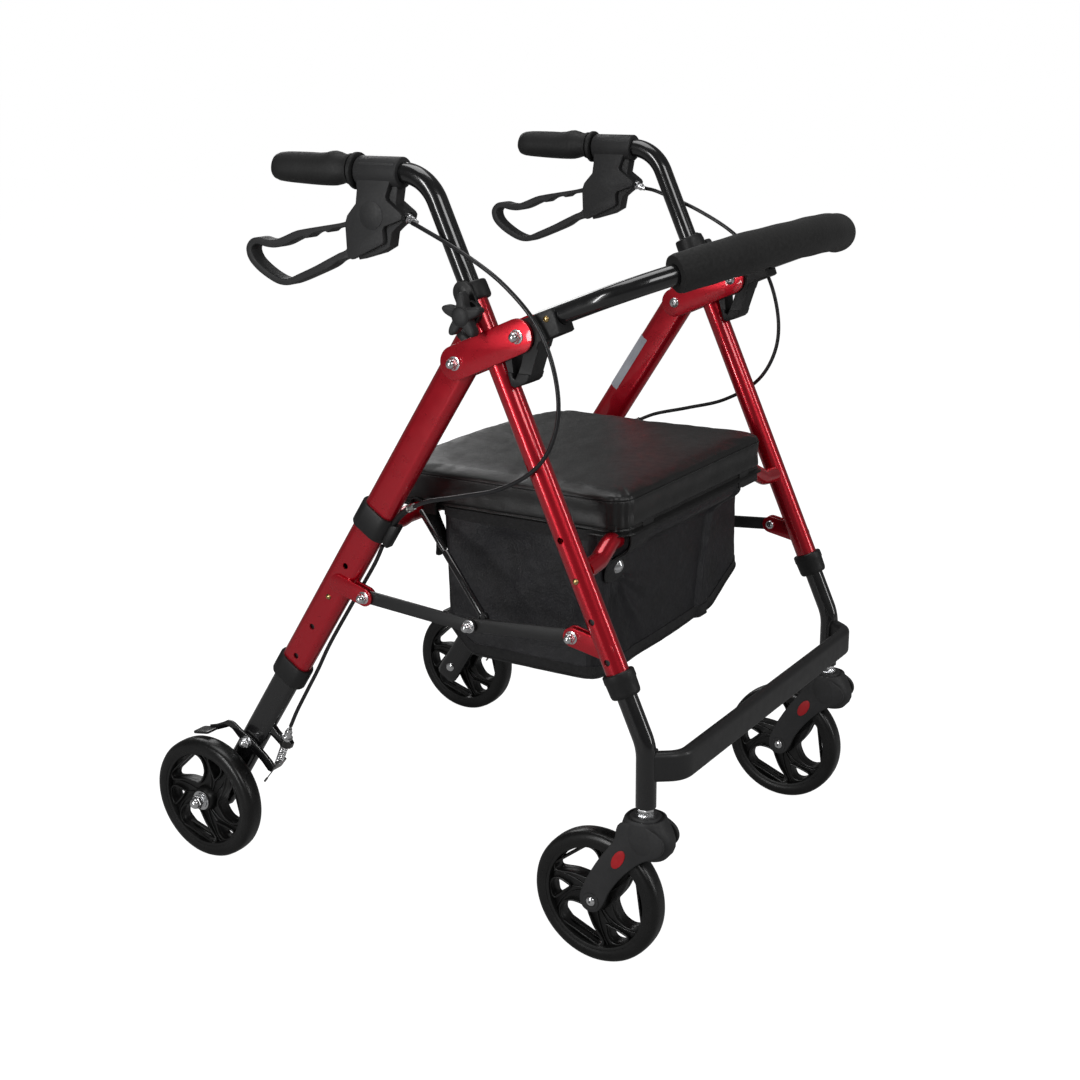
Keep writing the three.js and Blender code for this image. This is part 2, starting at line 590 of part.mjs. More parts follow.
function seatBoard() {
  const pieces = [block(-BOARD.half, BOARD.half, BOARD.front, BOARD.back, BOARD.bottom, BOARD.top)];
  const lug = { y: [ROD_TIP.y - 8, ROD_TIP.y + 8], outer: 187.3, inner: 184.4, root: 170, bottom: 453 };
  const span = (side, a, b) => [side * a, side * b].sort((first, second) => first - second);
  for (const side of [1, -1]) {
    pieces.push(
      block(
        ...span(side, SEAT_CLIP.x - SEAT_CLIP.half, SEAT_CLIP.x + SEAT_CLIP.half),
        FRONT_BAR.y - 15, FRONT_BAR.y + 15, FRONT_BAR.z - 4, BOARD.bottom + 1,
      ),
      block(...span(side, lug.outer, lug.inner), ...lug.y, lug.bottom, BOARD.top),
      block(...span(side, lug.outer, lug.root), ...lug.y, BOARD.bottom + 1, BOARD.top),
    );
  }
  return cut(join(...pieces), rodX(-200, 200, FRONT_BAR, SEAT_BAR_R + 0.8, 14));
}

function basket() {
  const outer = block(-BASKET.half, BASKET.half, BASKET.front, BASKET.back, BASKET.bottom, BASKET.top);
  const w = BASKET.wall;
  const inside = block(
    -BASKET.half + w, BASKET.half - w, BASKET.front + w, BASKET.back - w, BASKET.bottom + w, BASKET.top + 10,
  );
  return cut(outer, inside);
}

// ---------------------------------------------------------------- backrest
function backrestPoint(x, v) {
  return at(x, BACKREST.y - v * Math.cos(BACKREST.rise), BACKREST.z + v * Math.sin(BACKREST.rise));
}

const bowPoint = (angle) => backrestPoint(
  LEG_X * Math.sin(angle), BACKREST.straight + BACKREST.bow * Math.cos(angle),
);

// The foam and the tube share their stations along the bow, so that the bore fits the tube everywhere.
function foamStations() {
  const reach = Math.asin(FOAM.end / LEG_X);
  const steps = 10;
  return Array.from({ length: steps + 1 }, (_, i) => bowPoint(reach * (2 * i / steps - 1)));
}

const backrestTube = () => tube([
  backrestPoint(-LEG_X, 4), ...[-1.57, -1.37, -1.16].map(bowPoint), ...foamStations(),
  ...[1.16, 1.37, 1.57].map(bowPoint), backrestPoint(LEG_X, 4),
], BACKREST.tube, BACKREST.tube - TUBE_WALL, 10);
const backrestFoam = () => tube(foamStations(), FOAM.radius, FOAM.bore, 10);

function backrestBracket() {
  const side = [[104, 690], [92, 697], [52, 709], [40, 686], [64, 675], [82, 630], [97, 625], [105, 654], [104, 672]];
  const socket = tube([backrestPoint(LEG_X, 2), backrestPoint(LEG_X, 60)], BACKREST.tube + 2 * GAP, 0, 12);
  const narrow = [[110, 715], [66, 715], [66, 620], [110, 620]];
  const body = cut(
    plate(side, LEG_X - 14.5, LEG_X + 14.5),
    plate(narrow, LEG_X + PLATE.inner - GAP, LEG_X + 20),
    plate(narrow, LEG_X - 20, LEG_X - PLATE.inner + GAP),
    frontTube(20, 150, LEG_R + 0.6),
  );
  const p = backrestPoint(0, BUTTON_V);
  return cut(
    body,
    socket,
    rodX(LEG_X - 20, LEG_X + 20, BACKREST_PIVOT, PIN_HOLE_R, 10),
    rodX(LEG_X + 4, LEG_X + 20, p, HOLE_R + 0.2, 8),
  );
}

// ---------------------------------------------------------------- brake cable
function brakeCable() {
  const route = [
    [254, 221, 785], [258, 200, 777], [261, 150, 757], [264, 100, 729], [265, 60, 690], [264, 38, 640],
    [264, 40, 590], [263, 62, 548], [262, 110, 518], [260, 160, 503], [257, 208, 493], [251, 236, 477],
    [244, 254, 455], [242, 274.5, 432], [242, 314, 370], [242, 359.5, 300], [242, 381, 260], [243, 398, 235],
    [244, 421, 200], [244, 431, 180], [244, 431, 165], [244, 432, 150], [247, 440, 133],
  ].map((p) => at(...p));
  const curve = new THREE.CatmullRomCurve3(route, false, 'centripetal');
  return new THREE.ExtrudeGeometry(new THREE.Shape(circle(CABLE_R, 8)), { steps: 42, extrudePath: curve });
}

// ---------------------------------------------------------------- assembly
const walker = new THREE.Group();
walker.position.y = -ORIGIN_Y;

function add(name, geometry, surface) {
  const mesh = new THREE.Mesh(geometry, surface);
  mesh.name = name;
  walker.add(mesh);
}

function addPair(name, geometry, surface) {
  add(`left_${name}`, geometry, surface);
  add(`right_${name}`, mirrored(geometry), surface);
}

addPair('front_leg', frontLeg(), RED);
add('front_seat_bar', frontSeatBar(), RED);
addPair('upper_collar', upperCollar(), PLASTIC);
addPair('lower_collar', lowerCollar(), PLASTIC);
addPair('star_knob', starKnob(), PLASTIC);
addPair('handle_tube', handleTube(), BLACK_PAINT);
addPair('grip', grip(), RUBBER);
addPair('brake_housing', brakeHousing(), PLASTIC);
addPair('brake_lever', brakeLever(), PLASTIC);
add('front_base', frontBase(), BLACK_PAINT);
addPair('caster_fork', casterFork(), PLASTIC);
addPair('front_wheel', wheel(CASTER.wheelX, 0), RUBBER);
addPair('front_axle', frontAxle(), STEEL);
addPair('front_button', legButton(frontAxis(FRONT_HOLE_T + holeStepFront), LEG_X + LEG_R), BRASS);
addPair('rear_leg', rearLeg(), RED);
add('rear_seat_bar', rearSeatBar(), RED);
addPair('rear_collar', rearCollar(), PLASTIC);
addPair('rear_extension', rearExtension(), BLACK_PAINT);
addPair('rear_wheel', wheel(REAR_WHEEL.x, REAR_WHEEL.y), RUBBER);
addPair('rear_axle', rearAxle(), STEEL);
addPair('brake_arm', brakeArm(), BLACK_PAINT);
addPair('rear_button', legButton(rearAxis(REAR_HOLE_T + holeStepRear), LEG_X + REAR_SECTION.thickness / 2), BRASS);
addPair('front_link', frontLink(), BLACK_PAINT);
addPair('rear_link', rearLink(), BLACK_PAINT);
addPair('lift_rod_lower', liftRodLower(), BLACK_PAINT);
addPair('lift_rod_upper', liftRodUpper(), STEEL);
add('seat_pad', seatPad(), VINYL);
add('seat_board', seatBoard(), PLASTIC);
add('basket', basket(), NYLON);
add('backrest_tube', backrestTube(), BLACK_PAINT);
add('backrest_foam', backrestFoam(), FOAM_BLACK);
addPair('backrest_bracket', backrestBracket(), PLASTIC);
addPair('bracket_button', legButton(backrestPoint(0, BUTTON_V), LEG_X + 14.5), BRASS);
addPair('brake_cable', brakeCable(), PLASTIC);

export default walker;
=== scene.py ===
"""Folding rollator walker: the visual model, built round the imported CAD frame.

Shapes are laid out in millimetres, with y = 0 at the caster wheels' axle, z = 0 on the floor and x = 0 in the
middle. Paired pieces are laid out on the user's left (+X). make() mirrors them for the right side, and turns
every piece into metres in the frame.
"""
import math

import bmesh
import bpy
import numpy as np
from mathutils import Matrix, Vector, noise
from mathutils.bvhtree import BVHTree


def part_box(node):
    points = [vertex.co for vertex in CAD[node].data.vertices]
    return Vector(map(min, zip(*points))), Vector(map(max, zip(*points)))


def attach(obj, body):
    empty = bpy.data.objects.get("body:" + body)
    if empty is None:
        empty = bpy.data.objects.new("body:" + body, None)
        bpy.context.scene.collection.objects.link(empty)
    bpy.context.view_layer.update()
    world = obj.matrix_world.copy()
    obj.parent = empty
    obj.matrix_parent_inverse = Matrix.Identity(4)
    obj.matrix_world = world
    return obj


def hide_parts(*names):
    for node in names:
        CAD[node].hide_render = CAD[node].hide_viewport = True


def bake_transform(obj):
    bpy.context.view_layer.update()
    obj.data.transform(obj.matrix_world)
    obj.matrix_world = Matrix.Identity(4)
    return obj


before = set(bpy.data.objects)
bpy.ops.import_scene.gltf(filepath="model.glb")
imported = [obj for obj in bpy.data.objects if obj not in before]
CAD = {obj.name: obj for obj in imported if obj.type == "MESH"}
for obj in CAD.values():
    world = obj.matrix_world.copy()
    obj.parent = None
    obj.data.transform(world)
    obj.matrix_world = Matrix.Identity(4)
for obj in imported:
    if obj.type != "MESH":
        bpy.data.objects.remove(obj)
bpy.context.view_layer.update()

MM = 0.001
front_wheel_low, front_wheel_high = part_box("left_front_wheel")
AXLE_Y = (front_wheel_low.y + front_wheel_high.y) / 2
LEFT, RIGHT = 1, -1
SIDE_NAMES = {LEFT: "left", RIGHT: "right"}

# ------------------------------------------------------------------ camera
CAMERA_PLACE = Vector((-1.6389, -1.0454, 0.9524))
CAMERA_RIGHT = Vector((0.5301, -0.8479, -0.0078))
CAMERA_UP = Vector((0.2448, 0.1442, 0.9589))
CAMERA_BACK = Vector((-0.8118, -0.5102, 0.2840))


def make_camera():
    data = bpy.data.cameras.new("camera")
    data.lens = 55.14
    data.sensor_width = 36
    data.dof.use_dof = False
    camera = bpy.data.objects.new("camera", data)
    bpy.context.scene.collection.objects.link(camera)
    turn = Matrix((CAMERA_RIGHT, CAMERA_UP, CAMERA_BACK)).transposed().to_4x4()
    camera.matrix_world = Matrix.Translation(CAMERA_PLACE) @ turn
    bpy.context.scene.camera = camera


make_camera()

# ------------------------------------------------------------------ dimensions shared by the pieces (mm)
LEG_X = 244
FRONT_TILT = math.radians(24.4)
REAR_TILT = math.radians(33.05)
FRONT_TOP = (154.5, 722.2)
REAR_PIVOT = (165.2, 644.1)
BACKREST_PIVOT = (88.2, 678.1)
LEG_R = 12.7
INNER_R = 11
LEG_LENGTH = 432
HOLE_STEP_Z = 40.8
HOLE_COUNT = 4
HOLE_R = 3.6
PIN_R = 4
EAR_R = 10.5
LINK_R = 7.6
SEAT_BAR_R = 10
FRONT_HOLE_T = 275.4
REAR_HOLE_T = 293
WHEEL_R = 76.2
REAR_WHEEL = (279.2, 533.4)
CASTER_Y = -55.3
LINK_FRONT = (29.9, 367.5)
LINK_REAR = (298.7, 366.4)
LINK_MID = (158.5, 356.8)
FRONT_LINK_X = (244.8, 249.2)
REAR_LINK_X = (249.5, 253.6)
HANDLE_Z = 833
BRAKE_PIVOT = (488, 150)
BACKREST_RISE = math.radians(21.5)
KNOB_T = 28

FRONT_HOLE_STEP = HOLE_STEP_Z / math.cos(FRONT_TILT)
REAR_HOLE_STEP = HOLE_STEP_Z / math.cos(REAR_TILT)


def place(x, y, z):
    """A point of the layout in the row frame, in metres."""
    return Vector((x * MM, y * MM + AXLE_Y, z * MM))


def front_axis(t):
    """Centre line of the front leg, t mm below its top."""
    return (FRONT_TOP[0] - t * math.sin(FRONT_TILT), FRONT_TOP[1] - t * math.cos(FRONT_TILT))


def rear_axis(t):
    """Centre line of the rear leg, t mm below the pivot."""
    return (REAR_PIVOT[0] + t * math.sin(REAR_TILT), REAR_PIVOT[1] - t * math.cos(REAR_TILT))


def backrest_point(x, v):
    """A point v mm forward of the backrest's root along its rise."""
    return Vector((x, 75 - v * math.cos(BACKREST_RISE), 690 + v * math.sin(BACKREST_RISE)))


def front_point(t, x=LEG_X):
    return Vector((x, *front_axis(t)))


def rear_point(t, x=LEG_X):
    return Vector((x, *rear_axis(t)))


FRONT_DOWN = Vector((0, -math.sin(FRONT_TILT), -math.cos(FRONT_TILT)))
X_AXIS = Vector((1, 0, 0))
Z_AXIS = Vector((0, 0, 1))


# ------------------------------------------------------------------ shapes
class Shape:
    """Vertices and faces in millimetres. Shapes add up into one piece."""

    def __init__(self, verts=(), faces=()):
        self.verts = [Vector(v) for v in verts]
        self.faces = [list(f) for f in faces]

    def __add__(self, other):
        joined = Shape(self.verts, self.faces)
        base = len(joined.verts)
        joined.verts += [v.copy() for v in other.verts]
        joined.faces += [[i + base for i in f] for f in other.faces]
        return joined

    def moved(self, change):
        """A copy with every vertex put through a function."""
        return Shape([change(v) for v in self.verts], self.faces)

    def placed(self, matrix):
        return self.moved(lambda v: matrix @ v)


def total(shapes):
    result = Shape()
    for shape in shapes:
        result = result + shape
    return result


def ring(radius_u, radius_v=None, sides=32):
    """A closed section: a circle, or an ellipse where radius_v is given."""
    radius_v = radius_u if radius_v is None else radius_v
    angles = [2 * math.pi * (i + 0.5) / sides for i in range(sides)]
    return [(radius_u * math.cos(angle), radius_v * math.sin(angle)) for angle in angles]


def stadium(width, thickness, steps=10):
    """A flat-oval section: u across the flats, v along the width."""
    radius = thickness / 2
    reach = width / 2 - radius
    points = []
    for end in (1, -1):
        for i in range(steps + 1):
            angle = (0 if end > 0 else math.pi) + math.pi * i / steps
            points.append((radius * math.cos(angle), end * reach + radius * math.sin(angle)))
    return points


def rounded_box(width, height, radius, steps=3):
    """A rectangle section with rounded corners, centred."""
    points = []
    for cx, cy, start in ((1, 1, 0), (-1, 1, 90), (-1, -1, 180), (1, -1, 270)):
        for i in range(steps + 1):
            angle = math.radians(start + 90 * i / steps)
            points.append((
                cx * (width / 2 - radius) + radius * math.cos(angle),
                cy * (height / 2 - radius) + radius * math.sin(angle),
            ))
    return points


def frames_along(path, across):
    """Tangent, u and v at each point of a path, turning as little as possible. u starts near across."""
    tangents = []
    for i in range(len(path)):
        before = path[max(i - 1, 0)]
        after = path[min(i + 1, len(path) - 1)]
        into = (path[i] - before).normalized() if i > 0 else (after - path[i]).normalized()
        out = (after - path[i]).normalized() if i < len(path) - 1 else into
        tangents.append((into + out).normalized())
    result = []
    u = across - across.project(tangents[0])
    u.normalize()
    for tangent in tangents:
        u = (u - u.project(tangent)).normalized()
        result.append((tangent, u, tangent.cross(u)))
    return result


def sweep(path, section, across=X_AXIS, bore=None, scales=None):
    """A section, or one section for each point, carried along a path. bore is the section of a hollow."""
    path = [Vector(p) for p in path]
    frames = frames_along(path, Vector(across))
    per_point = isinstance(section[0][0], (tuple, list))
    shape = Shape()

    def rings_of(outline, inward):
        rows = []
        for i, (point, (_, u, v)) in enumerate(zip(path, frames)):
            profile = outline[i] if per_point and not inward else outline
            scale = scales[i] if scales else 1
            row = []
            for a, b in profile:
                row.append(len(shape.verts))
                shape.verts.append(point + u * (a * scale) + v * (b * scale))
            rows.append(row)
        count = len(rows[0])
        for low, high in zip(rows, rows[1:]):
            for k in range(count):
                quad = [low[k], low[(k + 1) % count], high[(k + 1) % count], high[k]]
                shape.faces.append(quad if not inward else quad[::-1])
        return rows

    outer = rings_of(section, False)
    if bore is None:
        shape.faces += [outer[0][::-1], outer[-1]]
        return shape
    inner = rings_of(bore, True)
    count = len(outer[0])
    for k in range(count):
        n = (k + 1) % count
        shape.faces.append([outer[0][n], outer[0][k], inner[0][k], inner[0][n]])
        shape.faces.append([outer[-1][k], outer[-1][n], inner[-1][n], inner[-1][k]])
    return shape


def tube(path, radius, bore=None, sides=40, across=X_AXIS):
    return sweep(path, ring(radius, sides=sides), across, ring(bore, sides=sides) if bore else None)


def lathe(base, axis, profile, sides=40):
    """A profile of (distance along the axis, radius) turned about the axis. A radius of 0 closes the end."""
    base, axis = Vector(base), Vector(axis).normalized()
    helper = X_AXIS if abs(axis.x) < 0.9 else Z_AXIS
    u = axis.cross(helper).normalized()
    v = axis.cross(u)
    shape = Shape()
    rows = []
    for distance, radius in profile:
        if radius == 0:
            rows.append([len(shape.verts)])
            shape.verts.append(base + axis * distance)
            continue
        row = []
        for i in range(sides):
            angle = 2 * math.pi * i / sides
            row.append(len(shape.verts))
            shape.verts.append(
                base + axis * distance + u * (radius * math.cos(angle)) + v * (radius * math.sin(angle))
            )
        rows.append(row)
    for low, high in zip(rows, rows[1:]):
        for k in range(sides):
            n = (k + 1) % sides
            if len(low) == 1 and len(high) > 1:
                shape.faces.append([low[0], high[n], high[k]])
            elif len(high) == 1 and len(low) > 1:
                shape.faces.append([low[k], low[n], high[0]])
            elif len(low) > 1:
                shape.faces.append([low[k], low[n], high[n], high[k]])
    return shape


def pin(base, length, radius, sides=20):
    """A plain round bar along X."""
    return lathe(base, X_AXIS, [(0, 0), (0, radius), (length, radius), (length, 0)], sides)


def catmull_rom(p0, p1, p2, p3, t):
    """The point a share t of the way from p1 to p2, on the smooth curve through all four."""
    return 0.5 * (
        2 * p1 + (p2 - p0) * t + (
            2 * p0 - 5 * p1 + 4 * p2 - p3
        ) * t * t + (3 * p1 - p0 - 3 * p2 + p3) * t ** 3
    )


def smooth_outline(points, steps=6):
    """A closed Catmull-Rom curve through the points."""
    count = len(points)
    result = []
    for i in range(count):
        near = [Vector(points[(i + k) % count]) for k in (-1, 0, 1, 2)]
        result += [tuple(catmull_rom(*near, k / steps)) for k in range(steps)]
    return result


def smooth_path(points, steps=6):
    """An open Catmull-Rom curve through 3-D points."""
    points = [Vector(p) for p in points]
    padded = [points[0] * 2 - points[1]] + points + [points[-1] * 2 - points[-2]]
    result = []
    for i in range(1, len(padded) - 2):
        result += [catmull_rom(*padded[i - 1:i + 3], k / steps) for k in range(steps)]
    result.append(points[-1])
    return result


def rounded_path(corners, radius, steps=10):
    """Corner points with the inner ones rounded by arcs."""
    corners = [Vector(c) for c in corners]
    result = [corners[0]]
    for before, corner, after in zip(corners, corners[1:], corners[2:]):
        into, out = (before - corner).normalized(), (after - corner).normalized()
        half = into.angle(out) / 2
        reach = radius / math.tan(half)
        middle = corner + (into + out).normalized() * (radius / math.sin(half))
        start = corner + into * reach - middle
        end = corner + out * reach - middle
        turn = start.angle(end)
        for k in range(steps + 1):
            a = start * math.sin(turn * (1 - k / steps))
            b = end * math.sin(turn * k / steps)
            result.append((a + b) / math.sin(turn) + middle)
    result.append(corners[-1])
    return result


def capsule(a, b, radius, steps=16):
    """The outline of a bar with round ends, in the side view."""
    heading = math.atan2(b[1] - a[1], b[0] - a[0])
    points = []
    for end, start in ((b, heading - math.pi / 2), (a, heading + math.pi / 2)):
        for i in range(steps + 1):
            angle = start + math.pi * i / steps
            points.append((end[0] + radius * math.cos(angle), end[1] + radius * math.sin(angle)))
    return points


def circle_outline(radius, sides):
    angles = [2 * math.pi * i / sides for i in range(sides)]
    return [(radius * math.cos(angle), radius * math.sin(angle)) for angle in angles]


def plate(outlines, thickness, bevel=0.6, basis=None):
    """A flat plate with softened edges. The first outline is its edge and the rest are holes.

    Without a basis the outline is read as (y, z) and thickness as (x0, x1).
    """
    low, high = thickness
    data = bpy.data.curves.new("outline", "CURVE")
    data.dimensions = "2D"
    data.fill_mode = "BOTH"
    data.extrude = max((high - low) / 2 - bevel, 0.001)
    data.bevel_depth = bevel
    data.bevel_resolution = 2
    data.offset = -bevel
    for outline in outlines:
        spline = data.splines.new("POLY")
        spline.points.add(len(outline) - 1)
        for point, (a, b) in zip(spline.points, outline):
            point.co = (a, b, 0, 1)
        spline.use_cyclic_u = True
    holder = bpy.data.objects.new("outline", data)
    mesh = bpy.data.meshes.new_from_object(holder)
    edit = bmesh.new()
    edit.from_mesh(mesh)
    bmesh.ops.remove_doubles(edit, verts=edit.verts, dist=0.002)
    bmesh.ops.recalc_face_normals(edit, faces=edit.faces)
    edit.verts.index_update()
    shape = Shape([v.co.copy() for v in edit.verts], [[v.index for v in f.verts] for f in edit.faces])
    edit.free()
    bpy.data.objects.remove(holder)
    bpy.data.curves.remove(data)
    bpy.data.meshes.remove(mesh)
    middle = (low + high) / 2
    if basis is None:
        return shape.moved(lambda v: Vector((middle + v.z, v.x, v.y)))
    origin, u, v_axis, w = (Vector(item) for item in basis)
    return shape.moved(lambda v: origin + u * v.x + v_axis * v.y + w * (v.z + middle))


def block(x, y, z, bevel=0.6, steps=2):
    """A box with softened edges."""
    edit = bmesh.new()
    bmesh.ops.create_cube(edit, size=1)
    for vertex in edit.verts:
        vertex.co = Vector((
            x[0] + (x[1] - x[0]) * (vertex.co.x + 0.5),
            y[0] + (y[1] - y[0]) * (vertex.co.y + 0.5),
            z[0] + (z[1] - z[0]) * (vertex.co.z + 0.5),
        ))
    bmesh.ops.bevel(edit, geom=edit.edges[:], offset=bevel, segments=steps, profile=0.5, affect="EDGES")
    edit.verts.index_update()
    shape = Shape([v.co.copy() for v in edit.verts], [[v.index for v in f.verts] for f in edit.faces])
    edit.free()
    return shape


def acorn_nut(point, axis, size=7.0):
    """A washer, a hexagon with turned corners and a closed dome."""
    washer = lathe(
        point, axis, [(0, 0), (0, size * 1.12), (0.9, size * 1.12), (1.1, size * 1.05), (1.1, 0)], 32,
    )
    hexagon = lathe(point, axis, [
        (1.1, 0), (1.1, size * 0.94), (1.7, size), (size * 0.75, size), (size * 0.9, size * 0.9),
        (size * 0.9, 0),
    ], 6)
    dome = [(size * 0.86, size * 0.8)]
    for i in range(9):
        angle = math.pi / 2 * i / 8
        dome.append((size * 0.95 + size * 0.74 * math.sin(angle), size * 0.78 * math.cos(angle)))
    dome[-1] = (dome[-1][0], 0)
    return washer + hexagon + lathe(point, axis, [(size * 0.86, 0)] + dome, 32)


def bolt_head(point, axis, size=6.0):
    """A button head with a round socket."""
    outer = [(0, 0), (0, size), (0.8, size)]
    for i in range(1, 7):
        angle = math.pi / 2 * i / 7
        outer.append((0.8 + 2.6 * math.sin(angle), size * math.cos(angle) * 0.98))
    outer += [(3.3, size * 0.42), (1.5, size * 0.4), (1.5, 0)]
    return lathe(point, axis, outer, 24)


# ------------------------------------------------------------------ turning shapes into pieces
SHARP = math.radians(38)


def solid_mesh(name, shape, side=LEFT, smooth=True):
    """A mesh in metres in the row frame, mirrored for the right side, with outward normals."""
    mesh = bpy.data.meshes.new(name)
    verts = [place(v.x * side, v.y, v.z) for v in shape.verts]
    mesh.from_pydata(verts, [], shape.faces)
    edit = bmesh.new()
    edit.from_mesh(mesh)
    bmesh.ops.recalc_face_normals(edit, faces=edit.faces)
    edit.to_mesh(mesh)
    edit.free()
    if smooth:
        mesh.polygons.foreach_set("use_smooth", [True] * len(mesh.polygons))
        mesh.set_sharp_from_angle(angle=SHARP)
    mesh.validate()
    return mesh


def add_object(name, mesh):
    piece = bpy.data.objects.new(name, mesh)
    bpy.context.scene.collection.objects.link(piece)
    return piece


def bake_modifiers(piece):
    """The piece's modifiers become part of its mesh."""
    graph = bpy.context.evaluated_depsgraph_get()
    graph.update()
    mesh = bpy.data.meshes.new_from_object(piece.evaluated_get(graph))
    old = piece.data
    piece.modifiers.clear()
    piece.data = mesh
    bpy.data.meshes.remove(old)


def carve(piece, shape, side=LEFT):
    """Cuts a shape's volume out of a piece."""
    tool = add_object("tool", solid_mesh("tool", shape, side, smooth=False))
    cut = piece.modifiers.new("cut", "BOOLEAN")
    cut.operation = "DIFFERENCE"
    cut.solver = "EXACT"
    cut.object = tool
    bake_modifiers(piece)
    tool_mesh = tool.data
    bpy.data.objects.remove(tool)
    bpy.data.meshes.remove(tool_mesh)
    piece.data.polygons.foreach_set("use_smooth", [True] * len(piece.data.polygons))
    piece.data.set_sharp_from_angle(angle=SHARP)


def make(name, shape, finish, body, side=LEFT, replaces=(), cuts=None):
    """A finished rigid piece that rides on a body. finish is a key of FINISHES."""
    piece = add_object(name, solid_mesh(name, shape, side))
    if cuts is not None:
        carve(piece, cuts, side)
    dress(piece, finish)
    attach(piece, body)
    if replaces:
        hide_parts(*replaces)
    return piece


# ------------------------------------------------------------------ finishes
# The part of a noise pattern's range that its values mostly lie in.
PATTERN_LOW, PATTERN_HIGH = 0.3, 0.7


class Nodes:
    """Small helper that adds shader nodes to a material."""

    def __init__(self, name):
        self.material = bpy.data.materials.new(name)
        self.material.use_nodes = True
        self.tree = self.material.node_tree
        self.shader = self.tree.nodes["Principled BSDF"]
        self.place = self.add("ShaderNodeTexCoord").outputs["Object"]

    def add(self, kind, inputs=None, **settings):
        node = self.tree.nodes.new(kind)
        for key, value in settings.items():
            setattr(node, key, value)
        for key, value in (inputs or {}).items():
            if isinstance(value, bpy.types.NodeSocket):
                self.tree.links.new(value, node.inputs[key])
            else:
                node.inputs[key].default_value = value
        return node

    def cloud(self, size, detail=3.0):
        """Noise with blobs of about this size in mm."""
        return self.add("ShaderNodeTexNoise", {
            "Vector": self.place, "Scale": 1 / (size * MM), "Detail": detail,
        }).outputs["Fac"]

    def cells(self, size):
        """Cell pattern with cells of about this size in mm, low along the cell borders."""
        return self.add("ShaderNodeTexVoronoi", {
            "Vector": self.place, "Scale": 1 / (size * MM),
        }, feature="DISTANCE_TO_EDGE").outputs["Distance"]

    def weave(self, pitch):
        """Threads along all three axes, one thread every pitch mm."""
        scale = 2 * math.pi / (20 * pitch * MM)
        waves = [
            self.add("ShaderNodeTexWave", {"Vector": self.place, "Scale": scale}, bands_direction=axis)
            for axis in ("X", "Y", "Z")
        ]
        waves = [wave.outputs["Fac"] for wave in waves]
        first = self.add("ShaderNodeMath", {0: waves[0], 1: waves[1]}, operation="ADD").outputs[0]
        return self.add("ShaderNodeMath", {0: first, 1: waves[2]}, operation="ADD").outputs[0]

    def spread(self, value, low, high):
        return self.add("ShaderNodeMapRange", {
            "Value": value, "From Min": PATTERN_LOW, "From Max": PATTERN_HIGH, "To Min": low, "To Max": high,
        }).outputs["Result"]

    def colour(self, value, dark, light):
        ramp = self.add("ShaderNodeValToRGB", {"Fac": value})
        ramp.color_ramp.elements[0].position = PATTERN_LOW
        ramp.color_ramp.elements[1].position = PATTERN_HIGH
        ramp.color_ramp.elements[0].color = (*dark, 1)
        ramp.color_ramp.elements[1].color = (*light, 1)
        return ramp.outputs["Color"]

    def bump(self, height, depth, normal=None):
        inputs = {"Height": height, "Distance": depth * MM, "Strength": 1.0}
        if normal is not None:
            inputs["Normal"] = normal
        return self.add("ShaderNodeBump", inputs).outputs["Normal"]

    def use(self, **inputs):
        """Values go on the shader's own sockets and sockets are linked."""
        for key, value in inputs.items():
            socket = self.shader.inputs[key.replace("_", " ")]
            if isinstance(value, bpy.types.NodeSocket):
                self.tree.links.new(value, socket)
            else:
                socket.default_value = value
        return self.material


def painted(name, dark, light, rough, metallic, coat):
    """Gloss paint with a faint orange-peel surface and fine flake."""
    n = Nodes(name)
    peel = n.bump(n.cloud(3.5, 1), 0.003)
    return n.use(
        Base_Color=n.colour(n.cloud(0.5, 2), dark, light), Roughness=n.spread(n.cloud(14), *rough),
        Metallic=metallic, Coat_Weight=coat, Coat_Roughness=0.04, Normal=peel,
    )


def moulded(name, dark, light, rough, grain_size, grain_depth):
    """Injection-moulded plastic with a spark-eroded grain and slight flow marks."""
    n = Nodes(name)
    grain = n.bump(n.cells(grain_size), grain_depth)
    flow = n.bump(n.cloud(9), 0.05, grain)
    return n.use(
        Base_Color=n.colour(n.cloud(22), dark, light), Roughness=n.spread(n.cloud(3), *rough), Normal=flow,
    )


def metal(name, dark, light, rough):
    """Plated metal with a little variation from polishing."""
    n = Nodes(name)
    return n.use(
        Base_Color=n.colour(n.cloud(5), dark, light), Roughness=n.spread(n.cloud(1.5), *rough), Metallic=1.0,
        Normal=n.bump(n.cloud(1.2), 0.01),
    )


def grained_vinyl():
    n = Nodes("upholstery_vinyl")
    pores = n.bump(n.cells(1.3), 0.16)
    creases = n.bump(n.cloud(6, 5), 0.14, pores)
    soft = n.bump(n.cloud(38, 2), 0.5, creases)
    return n.use(
        Base_Color=n.colour(n.cloud(30), (0.006, 0.006, 0.006), (0.011, 0.0108, 0.0105)),
        Roughness=n.spread(n.cloud(11), 0.3, 0.42), Normal=soft, Specular_IOR_Level=0.6,
        Sheen_Weight=0.03, Sheen_Roughness=0.4,
    )


def woven(name, dark, light, pitch, depth, rough, sheen):
    n = Nodes(name)
    threads = n.bump(n.weave(pitch), depth)
    puckers = n.bump(n.cloud(13, 4), 0.7, threads)
    return n.use(
        Base_Color=n.colour(n.cloud(25), dark, light), Roughness=n.spread(n.cloud(5), *rough), Normal=puckers,
        Sheen_Weight=sheen, Sheen_Roughness=0.5,
    )


